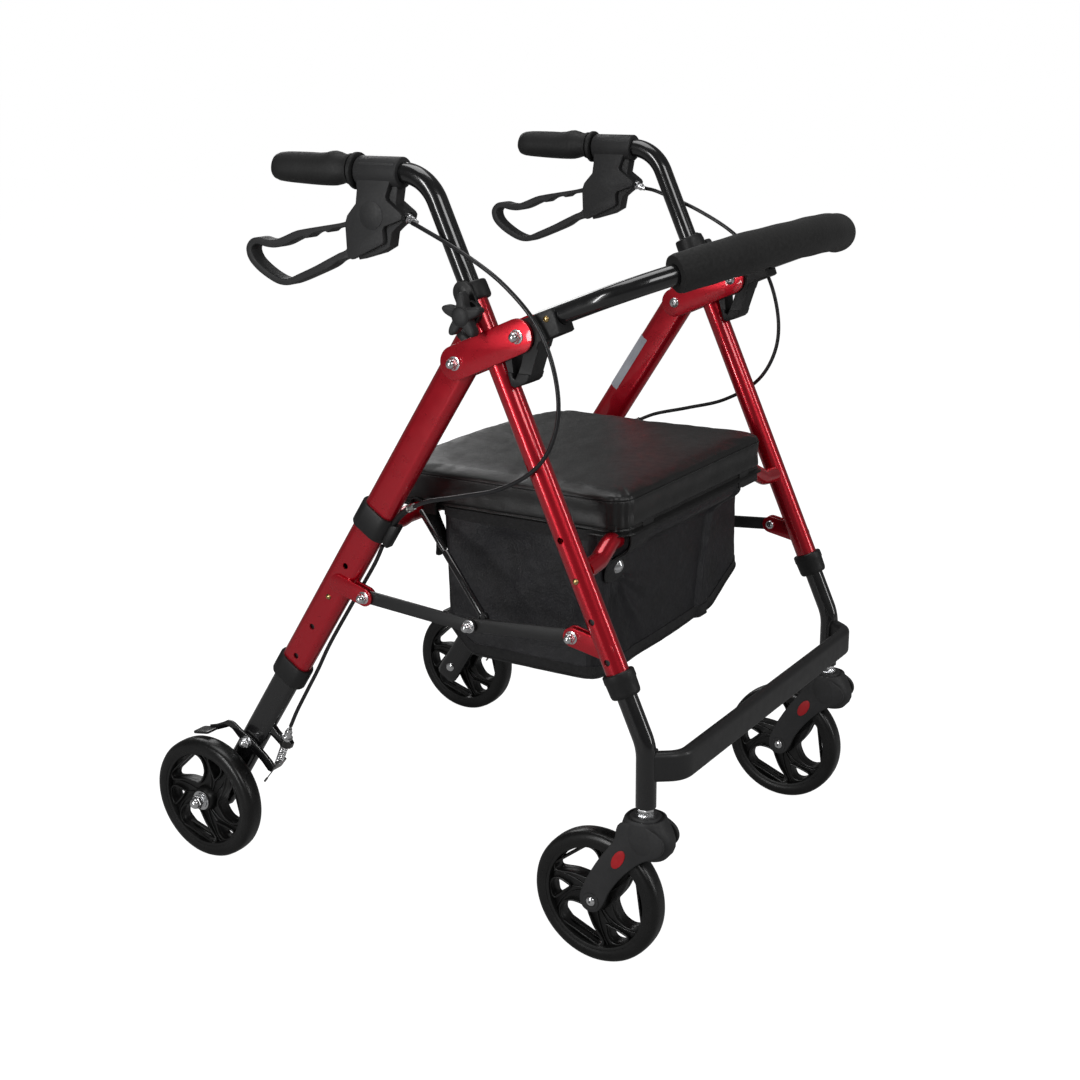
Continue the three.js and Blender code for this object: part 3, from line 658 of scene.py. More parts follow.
def closed_cell_foam():
    n = Nodes("closed_cell_foam")
    cells = n.bump(n.cells(0.8), 0.12)
    skin = n.bump(n.cloud(17, 3), 0.35, cells)
    return n.use(
        Base_Color=n.colour(n.cloud(35), (0.005, 0.0049, 0.0048), (0.009, 0.0088, 0.0086)),
        Roughness=n.spread(n.cloud(4), 0.72, 0.88), Normal=skin, Sheen_Weight=0.04, Sheen_Roughness=0.6,
    )


FINISHES = {
    "red": (
        painted("red_metallic_paint", (0.50, 0.0, 0.011), (0.63, 0.001, 0.018), (0.26, 0.32), 0.6, 1.0),
        "red_paint",
    ),
    "black": (
        painted("black_gloss_paint", (0.003, 0.003, 0.0034), (0.006, 0.006, 0.0066), (0.2, 0.3), 0.0, 1.0),
        "black_paint",
    ),
    "satin": (
        painted("dark_satin_paint", (0.013, 0.013, 0.0135), (0.019, 0.019, 0.0195), (0.42, 0.52), 0.0, 0.15),
        "black_paint",
    ),
    "plastic": (
        moulded("moulded_plastic", (0.02, 0.02, 0.021), (0.029, 0.029, 0.03), (0.5, 0.64), 0.5, 0.035),
        "plastic",
    ),
    "dark_plastic": (
        moulded("dark_plastic", (0.006, 0.006, 0.0062), (0.01, 0.01, 0.0104), (0.42, 0.56), 0.5, 0.03),
        "plastic",
    ),
    "rubber": (
        moulded("grip_rubber", (0.006, 0.006, 0.006), (0.011, 0.011, 0.011), (0.5, 0.68), 0.9, 0.12),
        "grip_rubber",
    ),
    "wheel": (
        moulded("wheel_plastic", (0.004, 0.004, 0.004), (0.007, 0.007, 0.007), (0.3, 0.42), 0.6, 0.02),
        "wheel_plastic",
    ),
    "tyre": (
        moulded("tyre_rubber", (0.0035, 0.0035, 0.0035), (0.007, 0.007, 0.007), (0.26, 0.36), 1.2, 0.01),
        "wheel_plastic",
    ),
    "chrome": (
        metal("chrome_plate", (0.84, 0.85, 0.86), (0.95, 0.95, 0.96), (0.18, 0.27)),
        "steel",
    ),
    "zinc": (metal("zinc_plate", (0.42, 0.42, 0.41), (0.56, 0.55, 0.53), (0.25, 0.38)), "steel"),
    "brass": (metal("brass_button", (0.62, 0.42, 0.16), (0.75, 0.55, 0.24), (0.16, 0.26)), "brass"),
    "vinyl": (grained_vinyl(), "vinyl"),
    "thread": (
        woven("sewing_thread", (0.012, 0.012, 0.012), (0.03, 0.03, 0.03), 0.3, 0.05, (0.5, 0.6), 0.2),
        "vinyl",
    ),
    "nylon": (
        woven(
            "coated_nylon", (0.0028, 0.0027, 0.0042), (0.006, 0.0057, 0.009), 0.55, 0.05, (0.38, 0.5), 0.015,
        ),
        "nylon",
    ),
    "webbing": (
        woven("webbing", (0.004, 0.004, 0.0046), (0.008, 0.008, 0.0088), 1.4, 0.2, (0.6, 0.75), 0.05),
        "nylon",
    ),
    "foam": (closed_cell_foam(), "foam"),
    "board": (
        moulded("backing_board", (0.012, 0.012, 0.012), (0.02, 0.02, 0.02), (0.6, 0.75), 2.5, 0.1),
        "board",
    ),
    "cable": (
        moulded("cable_housing", (0.012, 0.012, 0.013), (0.018, 0.018, 0.02), (0.28, 0.38), 0.8, 0.01),
        "cable",
    ),
    "label": (
        moulded("plain_label", (0.42, 0.43, 0.48), (0.52, 0.53, 0.58), (0.3, 0.42), 3.0, 0.01),
        "red_paint",
    ),
    "red_plastic": (
        moulded("red_insert", (0.45, 0.005, 0.01), (0.6, 0.012, 0.02), (0.4, 0.5), 0.8, 0.03),
        "plastic",
    ),
}


def dress(piece, finish):
    material, slot = FINISHES[finish]
    piece.data.materials.clear()
    piece.data.materials.append(material)


def dress_node(node, finish):
    """A CAD node that stays gets a finish too."""
    material, _ = FINISHES[finish]
    for holder in CAD[node].material_slots:
        holder.material = material


# ------------------------------------------------------------------ front legs, plates, collars and knobs
PLATE_IN, PLATE_OUT, PLATE_R = 12.3, 16.3, 18
EAR_T = 398
COLLAR_PROFILE = [
    (-2.5, 11.4), (-2.5, 16.0), (-1.4, 17.3), (2, 17.7), (13.5, 17.9), (15.4, 17.4), (16.6, 16.2),
    (16.6, 13.0),
]
LOWER_COLLAR_PROFILE = [
    (423.4, 13.0), (423.4, 16.2), (424.6, 17.4), (432, 17.6), (433.2, 16.9), (446, 16.4), (449, 15.6),
    (450.2, 14.2),
    (450.2, 11.3),
]


def side_hole(point, radius):
    """A bore through the outboard wall of a leg."""
    return pin((LEG_X + 2, *point), 18, radius)


def front_leg(side):
    name = SIDE_NAMES[side]
    holes = [side_hole(front_axis(KNOB_T), 4.6)]
    for i in range(HOLE_COUNT):
        holes.append(side_hole(front_axis(FRONT_HOLE_T + i * FRONT_HOLE_STEP), HOLE_R))
    leg = tube([front_point(0), front_point(LEG_LENGTH)], LEG_R, 11.4, 56)
    make(f"{name}_front_leg_tube", leg, "red", "frame", side, [f"{name}_front_leg"], cuts=total(holes))

    outline = capsule(BACKREST_PIVOT, REAR_PIVOT, PLATE_R, 24)
    ear = capsule(front_axis(EAR_T), LINK_FRONT, EAR_R)
    plates = (
        plate([outline], (LEG_X + PLATE_IN, LEG_X + PLATE_OUT), 0.9)
        + plate([outline], (LEG_X - PLATE_OUT, LEG_X - PLATE_IN), 0.9)
        + plate([ear], (FRONT_LINK_X[1] + 0.3, FRONT_LINK_X[1] + 3.6), 0.6)
        + plate([ear], (FRONT_LINK_X[0] - 3.6, FRONT_LINK_X[0] - 0.3), 0.6)
    )
    make(f"{name}_leg_plates", plates, "red", "frame", side)

    bolts = total(
        acorn_nut((LEG_X + PLATE_OUT, *pivot), X_AXIS, 6.6)
        + bolt_head((LEG_X - PLATE_OUT, *pivot), -X_AXIS, 6.4)
        + pin((LEG_X - PLATE_OUT, *pivot), 2 * PLATE_OUT, PIN_R)
        for pivot in (BACKREST_PIVOT, REAR_PIVOT)
    )
    make(f"{name}_plate_bolts", bolts, "chrome", "frame", side)
    link_bolt = (
        acorn_nut((FRONT_LINK_X[1] + 3.6, *LINK_FRONT), X_AXIS, 6.4)
        + bolt_head((FRONT_LINK_X[0] - 3.6, *LINK_FRONT), -X_AXIS, 5.6)
        + pin((FRONT_LINK_X[0] - 3, *LINK_FRONT), 10, PIN_R)
    )
    make(f"{name}_front_link_bolt", link_bolt, "chrome", "frame", side)


def collars(side):
    name = SIDE_NAMES[side]
    top = front_point(0)
    tongue = front_axis(26)
    boss = (
        lathe(top, FRONT_DOWN, COLLAR_PROFILE, 56)
        + plate([capsule(front_axis(5), tongue, 12.4)], (LEG_X + 12.9, LEG_X + 17), 1.2)
        + lathe((LEG_X + 13, *tongue), X_AXIS, [(0, 0), (0, 13.2), (6, 13.2), (7.2, 12), (7.2, 0)], 40)
    )
    make(f"{name}_clamp_collar", boss, "dark_plastic", "frame", side, [f"{name}_upper_collar"])
    make(
        f"{name}_leg_end_collar", lathe(
            top, FRONT_DOWN, LOWER_COLLAR_PROFILE, 56,
        ), "dark_plastic", "frame", side,
        [f"{name}_lower_collar"],
    )


def star_knob(side):
    name = SIDE_NAMES[side]
    center = front_axis(KNOB_T)
    outline = []
    for i in range(120):
        angle = 2 * math.pi * i / 120
        radius = 11.2 + 13.2 * ((1 + math.cos(5 * angle)) / 2) ** 1.25
        turn = angle + math.pi / 2
        outline.append((center[0] + radius * math.cos(turn), center[1] + radius * math.sin(turn)))
    hub = lathe((LEG_X + 34.5, *center), X_AXIS, [
        (0, 10.6), (1.6, 10.4), (2.2, 9.6), (1.7, 9.0), (2.1, 8.4), (3.0, 6.5), (3.4, 4.0), (3.5, 0),
    ], 40)
    stem = lathe((LEG_X + 12, *center), X_AXIS, [
        (0, 0), (0, 4), (9, 4), (9, 9.2), (13, 9.6), (13, 0),
    ], 32)
    knob = plate([outline], (LEG_X + 24, LEG_X + 36), 2.6) + hub + stem
    make(f"{name}_star_knob_body", knob, "plastic", f"{name}_knob", side, [f"{name}_star_knob"])


def front_seat_bar():
    end = LEG_X - LEG_R + 2
    path = rounded_path([
        (-end, 24, 436), (-205, 25, 439), (-178, 27, 452), (178, 27, 452), (205, 25, 439), (end, 24, 436),
    ], 24, 8)
    make("front_seat_bar_tube", tube(path, SEAT_BAR_R, None, 36), "red", "frame", replaces=["front_seat_bar"])


# ------------------------------------------------------------------ handles, grips, brake housings and levers
GRIP_FRONT = 291
GRIP_SECTIONS = [
    # distance back, half width, reach up, reach down
    (0, 17.5, 17.8, 18.4), (1.0, 18.9, 19.0, 19.4), (4.2, 19.0, 19.1, 19.5), (5.4, 17.4, 17.6, 18.2),
    (5.9, 14.6, 14.0, 16.6), (8.2, 14.2, 13.4, 16.6), (8.8, 15.6, 14.6, 17.9), (11.4, 15.6, 14.6, 17.9),
    (12.1, 13.9, 12.6, 16.8), (18, 13.9, 12.8, 17.0), (24, 15.0, 14.6, 18.9), (30, 15.8, 15.9, 20.2),
    (35, 16.1, 16.2, 19.9), (42, 16.3, 16.3, 18.3), (52, 16.4, 16.2, 17.6), (62, 16.5, 15.9, 17.9),
    (74, 16.7, 15.4, 18.0), (86, 16.8, 14.8, 18.0), (96, 16.6, 14.2, 17.8), (104, 16.0, 13.4, 17.0),
    (108.5, 14.6, 12.0, 15.4), (110.6, 12.0, 9.5, 12.6), (111.2, 8.0, 6.5, 8.5),
]


def grip_shape():
    path, sections = [], []
    for back, half, up, down in GRIP_SECTIONS:
        path.append(Vector((LEG_X, GRIP_FRONT + back, HANDLE_Z)))
        sections.append([
            (half * math.cos(a), (up if math.sin(a) > 0 else down) * math.sin(a))
            for a in (2 * math.pi * (i + 0.5) / 48 for i in range(48))
        ])
    return sweep(path, sections, X_AXIS)


HOUSING_FACE = [
    (236, 843), (283, 843), (285.5, 838), (285.5, 814.5), (287.5, 801), (299.5, 788), (302.5, 780),
    (301.5, 751),
    (299.5, 743.5), (295, 742.5), (254, 760.5), (252.5, 764), (253.5, 775), (251.5, 778.5), (229, 786.5),
    (228, 790.5), (230, 793.5), (247.5, 805.5), (248.5, 809), (240.5, 828), (236.5, 836),
]
HOUSING_CORE = [
    (250, 838), (280, 838), (283, 812), (294, 790), (296, 756), (290, 742), (262, 750), (249, 757),
    (246, 772), (240, 777), (232, 783), (231, 793), (240, 801), (237, 817), (240, 830),
]
PIVOT = (267.5, 789.5)
NOSE = Vector((LEG_X, 233, 788))
CABLE_DIRECTION = Vector((0.07, -0.94, -0.33)).normalized()


def brake_housing(side):
    name = SIDE_NAMES[side]
    clamp = sweep(
        [Vector((LEG_X, y, HANDLE_Z)) for y in (234, 235, 287, 288.5)],
        ring(16.4, 16.0, 48), X_AXIS, ring(INNER_R + 0.2, sides=48), scales=[0.95, 1, 1, 0.95],
    )
    body = (
        plate([HOUSING_FACE], (LEG_X + 7, LEG_X + 14.2), 1.0)
        + plate([HOUSING_CORE], (LEG_X - 7.5, LEG_X + 8), 1.2)
        + plate([HOUSING_FACE], (LEG_X - 14.2, LEG_X - 7), 1.0)
        + clamp
        + lathe((LEG_X + 14, *PIVOT), X_AXIS, [(-1, 0), (-1, 14.8), (0.55, 14.8), (0.8, 14.4), (0.8, 0)], 64)
        + lathe(
            NOSE - CABLE_DIRECTION * 9, CABLE_DIRECTION, [(0, 0), (0, 8), (7, 7.2), (9, 5.6), (9.6, 0)], 32,
        )
    )
    make(f"{name}_brake_housing_body", body, "plastic", f"{name}_handle", side, [f"{name}_brake_housing"])
    adjuster = lathe(NOSE, CABLE_DIRECTION, [
        (0, 0), (0, 4.9), (1.0, 5.3), (5.0, 5.3), (5.6, 4.7), (5.8, 3.4), (7.6, 3.4), (7.8, 4.3), (11.2, 4.3),
        (11.8, 3.7), (12.0, 2.9), (15.5, 2.9), (15.8, 0),
    ], 24)
    make(f"{name}_cable_adjuster", adjuster, "chrome", f"{name}_handle", side)


LEVER_OUTER = [
    (292, 786), (309.7, 780), (340, 774.6), (362, 770.8), (376, 767.7), (392, 761.5), (404, 757.6),
    (416, 756.6),
    (427, 758.5), (437, 757.2), (444, 751.5), (446.5, 744), (443.5, 734), (434, 724.5), (420, 716),
    (404, 709.5),
    (390, 708.6), (376, 712.4), (350, 722.5), (330, 731), (318, 738.5), (304, 742.5), (290, 748), (276, 764),
    (266, 780), (276, 790),
]
LEVER_INNER = [
    (300, 774.5), (312, 774.2), (324, 772), (330, 768.5), (336, 769.5), (350, 766.5), (360, 761), (366, 762),
    (378, 757.5), (392, 751.5), (405, 748.5), (418, 748.8), (430, 751.2), (436.5, 748.5), (438.5, 743.5),
    (435, 736), (426, 728.5), (412, 720.5), (398, 715.6), (388, 716.4), (372, 722.8), (350, 732),
    (332, 740.5),
    (318, 747), (305, 754),
]


def brake_lever(side):
    name = SIDE_NAMES[side]
    loop = plate(
        [smooth_outline(LEVER_OUTER, 5), smooth_outline(LEVER_INNER, 5)], (LEG_X - 9.5, LEG_X + 9.5), 1.5,
    )

    def slim(v):
        """The lever is slimmer where it runs inside the housing."""
        share = min(max((v.y - 288) / 22, 0), 1)
        return Vector((LEG_X + (v.x - LEG_X) * (0.66 + 0.34 * share), v.y, v.z))

    make(f"{name}_lever_loop", loop.moved(slim), "plastic", f"{name}_lever", side, [f"{name}_brake_lever"])


def handle(side):
    name = SIDE_NAMES[side]
    corner = front_axis((FRONT_TOP[1] - HANDLE_Z) / math.cos(FRONT_TILT))
    path = rounded_path([front_point(170), (LEG_X, corner[0], HANDLE_Z), (LEG_X, 396, HANDLE_Z)], 47, 20)
    bar = tube(path, INNER_R, 9.4, 48)
    make(f"{name}_handle_bar", bar, "black", f"{name}_handle", side, [f"{name}_handle_tube"])
    make(f"{name}_hand_grip", grip_shape(), "rubber", f"{name}_handle", side, [f"{name}_grip"])


# ------------------------------------------------------------------ front base with its crossbar
def front_base():
    parts = []
    for side in (LEFT, RIGHT):
        path = rounded_path([front_point(280), (LEG_X, CASTER_Y, 260), (LEG_X, CASTER_Y, 195.5)], 60, 16)
        path.append(Vector((LEG_X, CASTER_Y, 193.4)))
        leg = tube(path, INNER_R, 6.6, 48)
        parts.append(leg.moved(lambda v, s=side: Vector((v.x * s, v.y, v.z))))
    stems = total(parts)
    make("front_base_tubes", stems, "black", "base", replaces=["front_base"])
    bend = rounded_path([
        (-241, -62, 239), (-223.5, -86.5, 239), (223.5, -86.5, 239), (241, -62, 239),
    ], 26, 10)
    bar = sweep(bend, rounded_box(33, 14, 5.5, 6), Z_AXIS)
    make("crossbar", bar, "satin", "base")
    welds = []
    for side in (LEFT, RIGHT):
        seam = []
        for i in range(41):
            a = 2 * math.pi * i / 40
            x = side * (LEG_X - 9.2 + 0.9 * math.cos(a) * 3)
            seam.append(Vector((x, -62.5 - 2.6 * math.cos(a) * 1.2, 239 + 17 * math.sin(a))))
        welds.append(sweep(seam, ring(1.3, sides=8), Z_AXIS))
    make("crossbar_welds", total(welds), "satin", "base")


# ------------------------------------------------------------------ caster forks and wheels
FORK_ARM = [
    (-28, 157), (-34, 176), (-60, 180), (-80, 172), (-86, 160), (-80, 148), (-62, 138), (-48, 126),
    (-34, 110),
    (-22, 92), (-15, 76), (-9, 66.5), (0, 62.5), (10, 66), (14.5, 76), (12, 88), (6, 102), (-2, 117),
    (-12, 133),
    (-22, 147),
]
CROWN_LEVELS = [
    # height, middle in y, half length, half width
    (140, -61, 20, 17.5), (146, -60.5, 25.5, 19.6), (152, -59.5, 28.8, 20.4), (160, -58.5, 29.6, 20.8),
    (168, -57, 28.0, 20.9), (175, -56, 25.0, 20.6), (179, -55.3, 22.8, 20.4), (181.6, -55.3, 21.8, 20.2),
    (182.6, -55.3, 21.0, 19.6), (182.6, -55.3, 19.2, 17.8), (180.9, -55.3, 18.6, 17.2),
    (180.9, -55.3, 16.8, 15.6),
    (183.6, -55.3, 16.0, 14.8), (184.4, -55.3, 15.2, 14.0), (184.4, -55.3, 6.0, 6.0),
]
FORK_IN, FORK_OUT = 14.8, 18.9
CROWN_SQUARENESS = 0.82  # 1 is an ellipse, and less is nearer a rectangle


def caster_fork(side):
    name = SIDE_NAMES[side]
    crown = Shape()
    last = len(CROWN_LEVELS) - 1
    count = 56
    for z, y, length, width in CROWN_LEVELS:
        for i in range(count):
            angle = 2 * math.pi * i / count
            c, s = math.cos(angle), math.sin(angle)
            across = width * math.copysign(abs(c) ** CROWN_SQUARENESS, c)
            along = length * math.copysign(abs(s) ** CROWN_SQUARENESS, s)
            crown.verts.append(Vector((LEG_X + across, y + along, z)))
    for row in range(last):
        for i in range(count):
            n = (i + 1) % count
            crown.faces.append(
                [row * count + i, row * count + n, (row + 1) * count + n, (row + 1) * count + i]
            )
    crown.faces.append(list(range(count))[::-1])
    crown.faces.append([last * count + i for i in range(count)])
    arm = smooth_outline(FORK_ARM, 5)
    arms = plate([arm], (LEG_X + FORK_IN, LEG_X + FORK_OUT + 0.6), 1.3) \
        + plate([arm], (LEG_X - FORK_OUT - 0.6, LEG_X - FORK_IN), 1.3)
    boss = [(0, 0), (0, 10), (2.0, 9.4), (2.0, 6.4), (1.2, 6), (1.2, 0)]
    bosses = total(lathe((LEG_X + s * 18.5, 0, WHEEL_R), X_AXIS * s, boss, 36) for s in (1, -1))
    make(
        f"{name}_fork_body", crown + arms + bosses, "plastic", f"{name}_caster", side,
        [f"{name}_caster_fork"],
    )

    along = Vector((0, 0.5, -0.866))
    center = Vector((LEG_X, -33, 134))
    oval = []
    for i in range(40):
        a = 2 * math.pi * i / 40
        p = center + along * (12.8 * math.cos(a)) + Vector((0, 0.866, 0.5)) * (6.2 * math.sin(a))
        oval.append((p.y, p.z))
    insert = plate([oval], (LEG_X + 18.6, LEG_X + 20.3), 0.5) + plate(
        [oval], (LEG_X - 20.3, LEG_X - 18.6), 0.5,
    )
    make(f"{name}_fork_insert", insert, "red_plastic", f"{name}_caster", side)

    stem = (
        lathe((LEG_X, CASTER_Y, 184.3), Z_AXIS, [(0, 0), (0, 11), (1.2, 11), (1.4, 0)], 32)
        + lathe(
            (LEG_X, CASTER_Y, 185.6), Z_AXIS,
            [(0, 0), (0, 8.6), (0.8, 9.2), (6.4, 9.2), (7.2, 8.6), (7.4, 0)], 6,
        )
        + lathe((LEG_X, CASTER_Y, 183), Z_AXIS, [(0, 0), (0, 5.6), (40, 5.6), (40, 0)], 24)
    )
    make(f"{name}_stem_nut", stem, "chrome", f"{name}_caster", side)
    bolt = pin((LEG_X - 20, 0, WHEEL_R), 40, 3.9, 24) + total(
        bolt_head((LEG_X + s * 19.6, 0, WHEEL_R), X_AXIS * s, 5.6) for s in (1, -1)
    )
    make(f"{name}_caster_axle", bolt, "chrome", f"{name}_caster", side, [f"{name}_front_axle"])


TYRE_PROFILE = [
    (-9.5, 60.5), (-12.2, 61.5), (-12.6, 63.5), (-12.9, 64.6), (-12.9, 68.5), (-12.3, 71.6), (-10.7, 74.1),
    (-8.0, 75.6), (-4, 76.1), (0, 76.2), (4, 76.1), (8.0, 75.6), (10.7, 74.1), (12.3, 71.6), (12.9, 68.5),
    (12.9, 64.6), (12.6, 63.5), (12.2, 61.5), (9.5, 60.5), (-9.5, 60.5),
]
RIM_PROFILE = [
    (-11.8, 62.4), (-11.8, 60.6), (-11.2, 58.2), (-8, 57.2), (-6, 56.8), (6, 56.8), (8, 57.2), (11.2, 58.2),
    (11.8, 60.6), (11.8, 62.4), (-11.8, 62.4),
]
HUB_PROFILE = [
    (-13.8, 4.6), (-13.8, 13.2), (-13.0, 14.2), (-9, 15.2), (-6, 16.2), (6, 16.2), (9, 15.2), (13.0, 14.2),
    (13.8, 13.2), (13.8, 4.6), (-13.8, 4.6),
]
BIG_WINDOW = [
    (21.5, -4), (22.5, 10), (27, 24), (34, 35), (43, 40), (51, 40), (56, 35), (57.3, 22), (57.3, 0),
    (57, -18),
    (53.5, -27), (47, -28.5), (40, -26), (32, -20), (25.5, -13),
]
SMALL_WINDOW = [
    (34, 1), (39, 7), (46, 12.5), (52, 14.5), (56, 10), (56.3, 0), (54, -7), (48, -7.5), (40, -4.5),
]
SWIRL, SWIRL_RADIUS = 0.62, 38  # degrees swept for each mm outside this radius
SMALL_WINDOW_TURN = 64
DISC_R = 58.6
RIB_TURNS = (50, SMALL_WINDOW_TURN, 85)
RIB_START, RIB_END, RIB_STEPS = 14.5, 58, 12
SHORT_RIB_POINTS = 6


def swirled(radius, angle):
    """The angle of a spoke point in radians, swept back as the radius grows."""
    return math.radians(angle - SWIRL * (radius - SWIRL_RADIUS))


def window(points, turn):
    """A hole of the wheel disc from (radius, angle) points, swept round with the radius."""
    outline = []
    for radius, angle in smooth_outline(points, 4):
        a = swirled(radius, angle + turn)
        outline.append((radius * math.cos(a), radius * math.sin(a)))
    return outline


def wheel_shapes():
    """The disc with windows, ribs, hub and rim, and the tyre. The axle lies along X through the origin."""
    windows = []
    for third in range(3):
        windows.append(window(BIG_WINDOW, 120 * third))
        windows.append(window(SMALL_WINDOW, 120 * third + SMALL_WINDOW_TURN))
    disc = plate([circle_outline(DISC_R, 120)] + windows, (-4.6, 4.6), 1.0)
    ribs = Shape()
    for outline in windows:
        loop = [Vector((0, y, z)) for y, z in outline]
        center = sum(loop, Vector()) / len(loop)
        loop = [p + (p - center).normalized() * 1.5 for p in loop]
        loop = [p for p in loop if 15.5 < p.length < 58.5]
        for x in (-1, 1):
            ribs += sweep_closed([p + Vector((x * 5.4, 0, 0)) for p in loop], 1.25, 3.4)
    web = disc + ribs + lathe((0, 0, 0), X_AXIS, RIM_PROFILE, 120) + lathe((0, 0, 0), X_AXIS, HUB_PROFILE, 48)
    for third in range(3):
        for turn in RIB_TURNS:
            rib = []
            for k in range(RIB_STEPS + 1):
                radius = RIB_START + (RIB_END - RIB_START) * k / RIB_STEPS
                splay = (turn - SMALL_WINDOW_TURN) * 0.25 * (radius - SWIRL_RADIUS) / 20
                a = swirled(radius, 120 * third + turn + splay)
                rib.append(Vector((0, radius * math.cos(a), radius * math.sin(a))))
            if turn == SMALL_WINDOW_TURN:
                rib = rib[:SHORT_RIB_POINTS]
            web += sweep(rib, rounded_box(12.4, 1.7, 0.7), X_AXIS)
    return web, lathe((0, 0, 0), X_AXIS, TYRE_PROFILE, 120)


def sweep_closed(loop, half_thickness, half_height):
    """A rib with a rounded crest that follows a loop in the wheel's plane."""
    shape = Shape()
    count = len(loop)
    profile = rounded_box(2 * half_height, 2 * half_thickness, min(half_thickness, half_height) * 0.8, 2)
    size = len(profile)
    for i, point in enumerate(loop):
        tangent = (loop[(i + 1) % count] - loop[i - 1]).normalized()
        normal = tangent.cross(X_AXIS)
        for a, b in profile:
            shape.verts.append(point + X_AXIS * a + normal * b)
    for i in range(count):
        for k in range(size):
            j, n = (i + 1) % count, (k + 1) % size
            shape.faces.append([i * size + k, i * size + n, j * size + n, j * size + k])
    return shape


WHEEL_WEB, WHEEL_TYRE = wheel_shapes()


def wheel(side, prefix, x, y, turn):
    name = SIDE_NAMES[side]
    spin = Matrix.Translation((x, y, WHEEL_R)) @ Matrix.Rotation(turn, 4, "X")
    make(
        f"{name}_{prefix}_wheel_centre", WHEEL_WEB.placed(spin), "wheel", f"{name}_{prefix}_roller", side,
        [f"{name}_{prefix}_wheel"],
    )
    make(f"{name}_{prefix}_wheel_tyre", WHEEL_TYRE.placed(spin), "tyre", f"{name}_{prefix}_roller", side)


for each in (LEFT, RIGHT):
    front_leg(each)
    collars(each)
    star_knob(each)
    brake_housing(each)
    brake_lever(each)
    handle(each)
    caster_fork(each)
    wheel(each, "front", LEG_X, 0, math.radians(-62))
    wheel(each, "rear", *REAR_WHEEL, math.radians(-67))
front_seat_bar()
front_base()


# ------------------------------------------------------------------ rear legs and their fittings
REAR_TOP, REAR_END = -22, 463
EXTENSION_TOP, EXTENSION_END = 302, 700
REAR_SECTION = stadium(40, 20, 14)
CABLE_STOP = Vector((LEG_X, 436.5, 156))
STOP_AXIS = Vector((0, -0.36, 0.933)).normalized()
SPRING_FOOT = Vector((LEG_X, 449.5, 126))
CABLE_TIP = Vector((LEG_X, 474, 96))


def rear_sweep(levels, section, bore=None):
    """A flat-oval section carried down the rear leg; levels are (distance, scale)."""
    return sweep(
        [rear_point(t) for t, _ in levels], section, X_AXIS, bore, scales=[scale for _, scale in levels],
    )


def rear_leg(side):
    name = SIDE_NAMES[side]
    leg = sweep([rear_point(REAR_TOP), rear_point(REAR_END)], REAR_SECTION, X_AXIS, stadium(36.4, 16.4, 14))
    holes = total(
        side_hole(rear_axis(REAR_HOLE_T + i * REAR_HOLE_STEP), HOLE_R) for i in range(HOLE_COUNT)
    )
    make(f"{name}_rear_leg_tube", leg, "red", "rear_frame", side, [f"{name}_rear_leg"], cuts=holes)

    foot = (336, 377)
    ear = capsule(foot, LINK_REAR, EAR_R)
    ears = plate([ear], (REAR_LINK_X[1] + 0.3, REAR_LINK_X[1] + 3.2), 0.6) \
        + plate([ear], (REAR_LINK_X[0] - 3.6, REAR_LINK_X[0] - 0.3), 0.6)
    make(f"{name}_rear_link_ears", ears, "red", "rear_frame", side)
    bolt = (
        acorn_nut((REAR_LINK_X[1] + 3.2, *LINK_REAR), X_AXIS, 6.4)
        + bolt_head((REAR_LINK_X[0] - 3.6, *LINK_REAR), -X_AXIS, 5.6)
        + pin((REAR_LINK_X[0] - 3, *LINK_REAR), 9, PIN_R)
    )
    make(f"{name}_rear_link_bolt", bolt, "chrome", "rear_frame", side)

    cap = rear_sweep([
        (-16, 0.90), (-22, 0.90), (-22, 1.0), (-24.5, 1.0), (-27.5, 0.95), (-29.6, 0.82), (-30.6, 0.6),
        (-31, 0.3),
    ], REAR_SECTION)
    make(f"{name}_rear_leg_cap", cap, "dark_plastic", "rear_frame", side)

    guide = rear_sweep(
        [
            (209, 0.965), (210.2, 1.0), (238.8, 1.0), (240, 0.965),
        ], stadium(47, 27, 14), stadium(40.4, 20.4, 14),
    )
    front = Vector((0, -math.cos(REAR_TILT), -math.sin(REAR_TILT)))
    lobe = sweep(
        [rear_point(t) + front * reach for t, reach in ((211, 25.4), (212, 26), (236.5, 26), (238, 25.4))],
        rounded_box(13, 12.5, 4, 5), X_AXIS, scales=[0.92, 1, 1, 0.92],
    )
    make(f"{name}_cable_guide", guide + lobe, "dark_plastic", "rear_frame", side)

    end_collar = rear_sweep(
        [(450.5, 0.97), (452, 1.0), (477, 1.0), (479, 0.96)], stadium(46.4, 26.4, 14), stadium(35, 15.6, 14),
    )
    make(f"{name}_rear_end_collar", end_collar, "dark_plastic", "rear_frame", side, [f"{name}_rear_collar"])


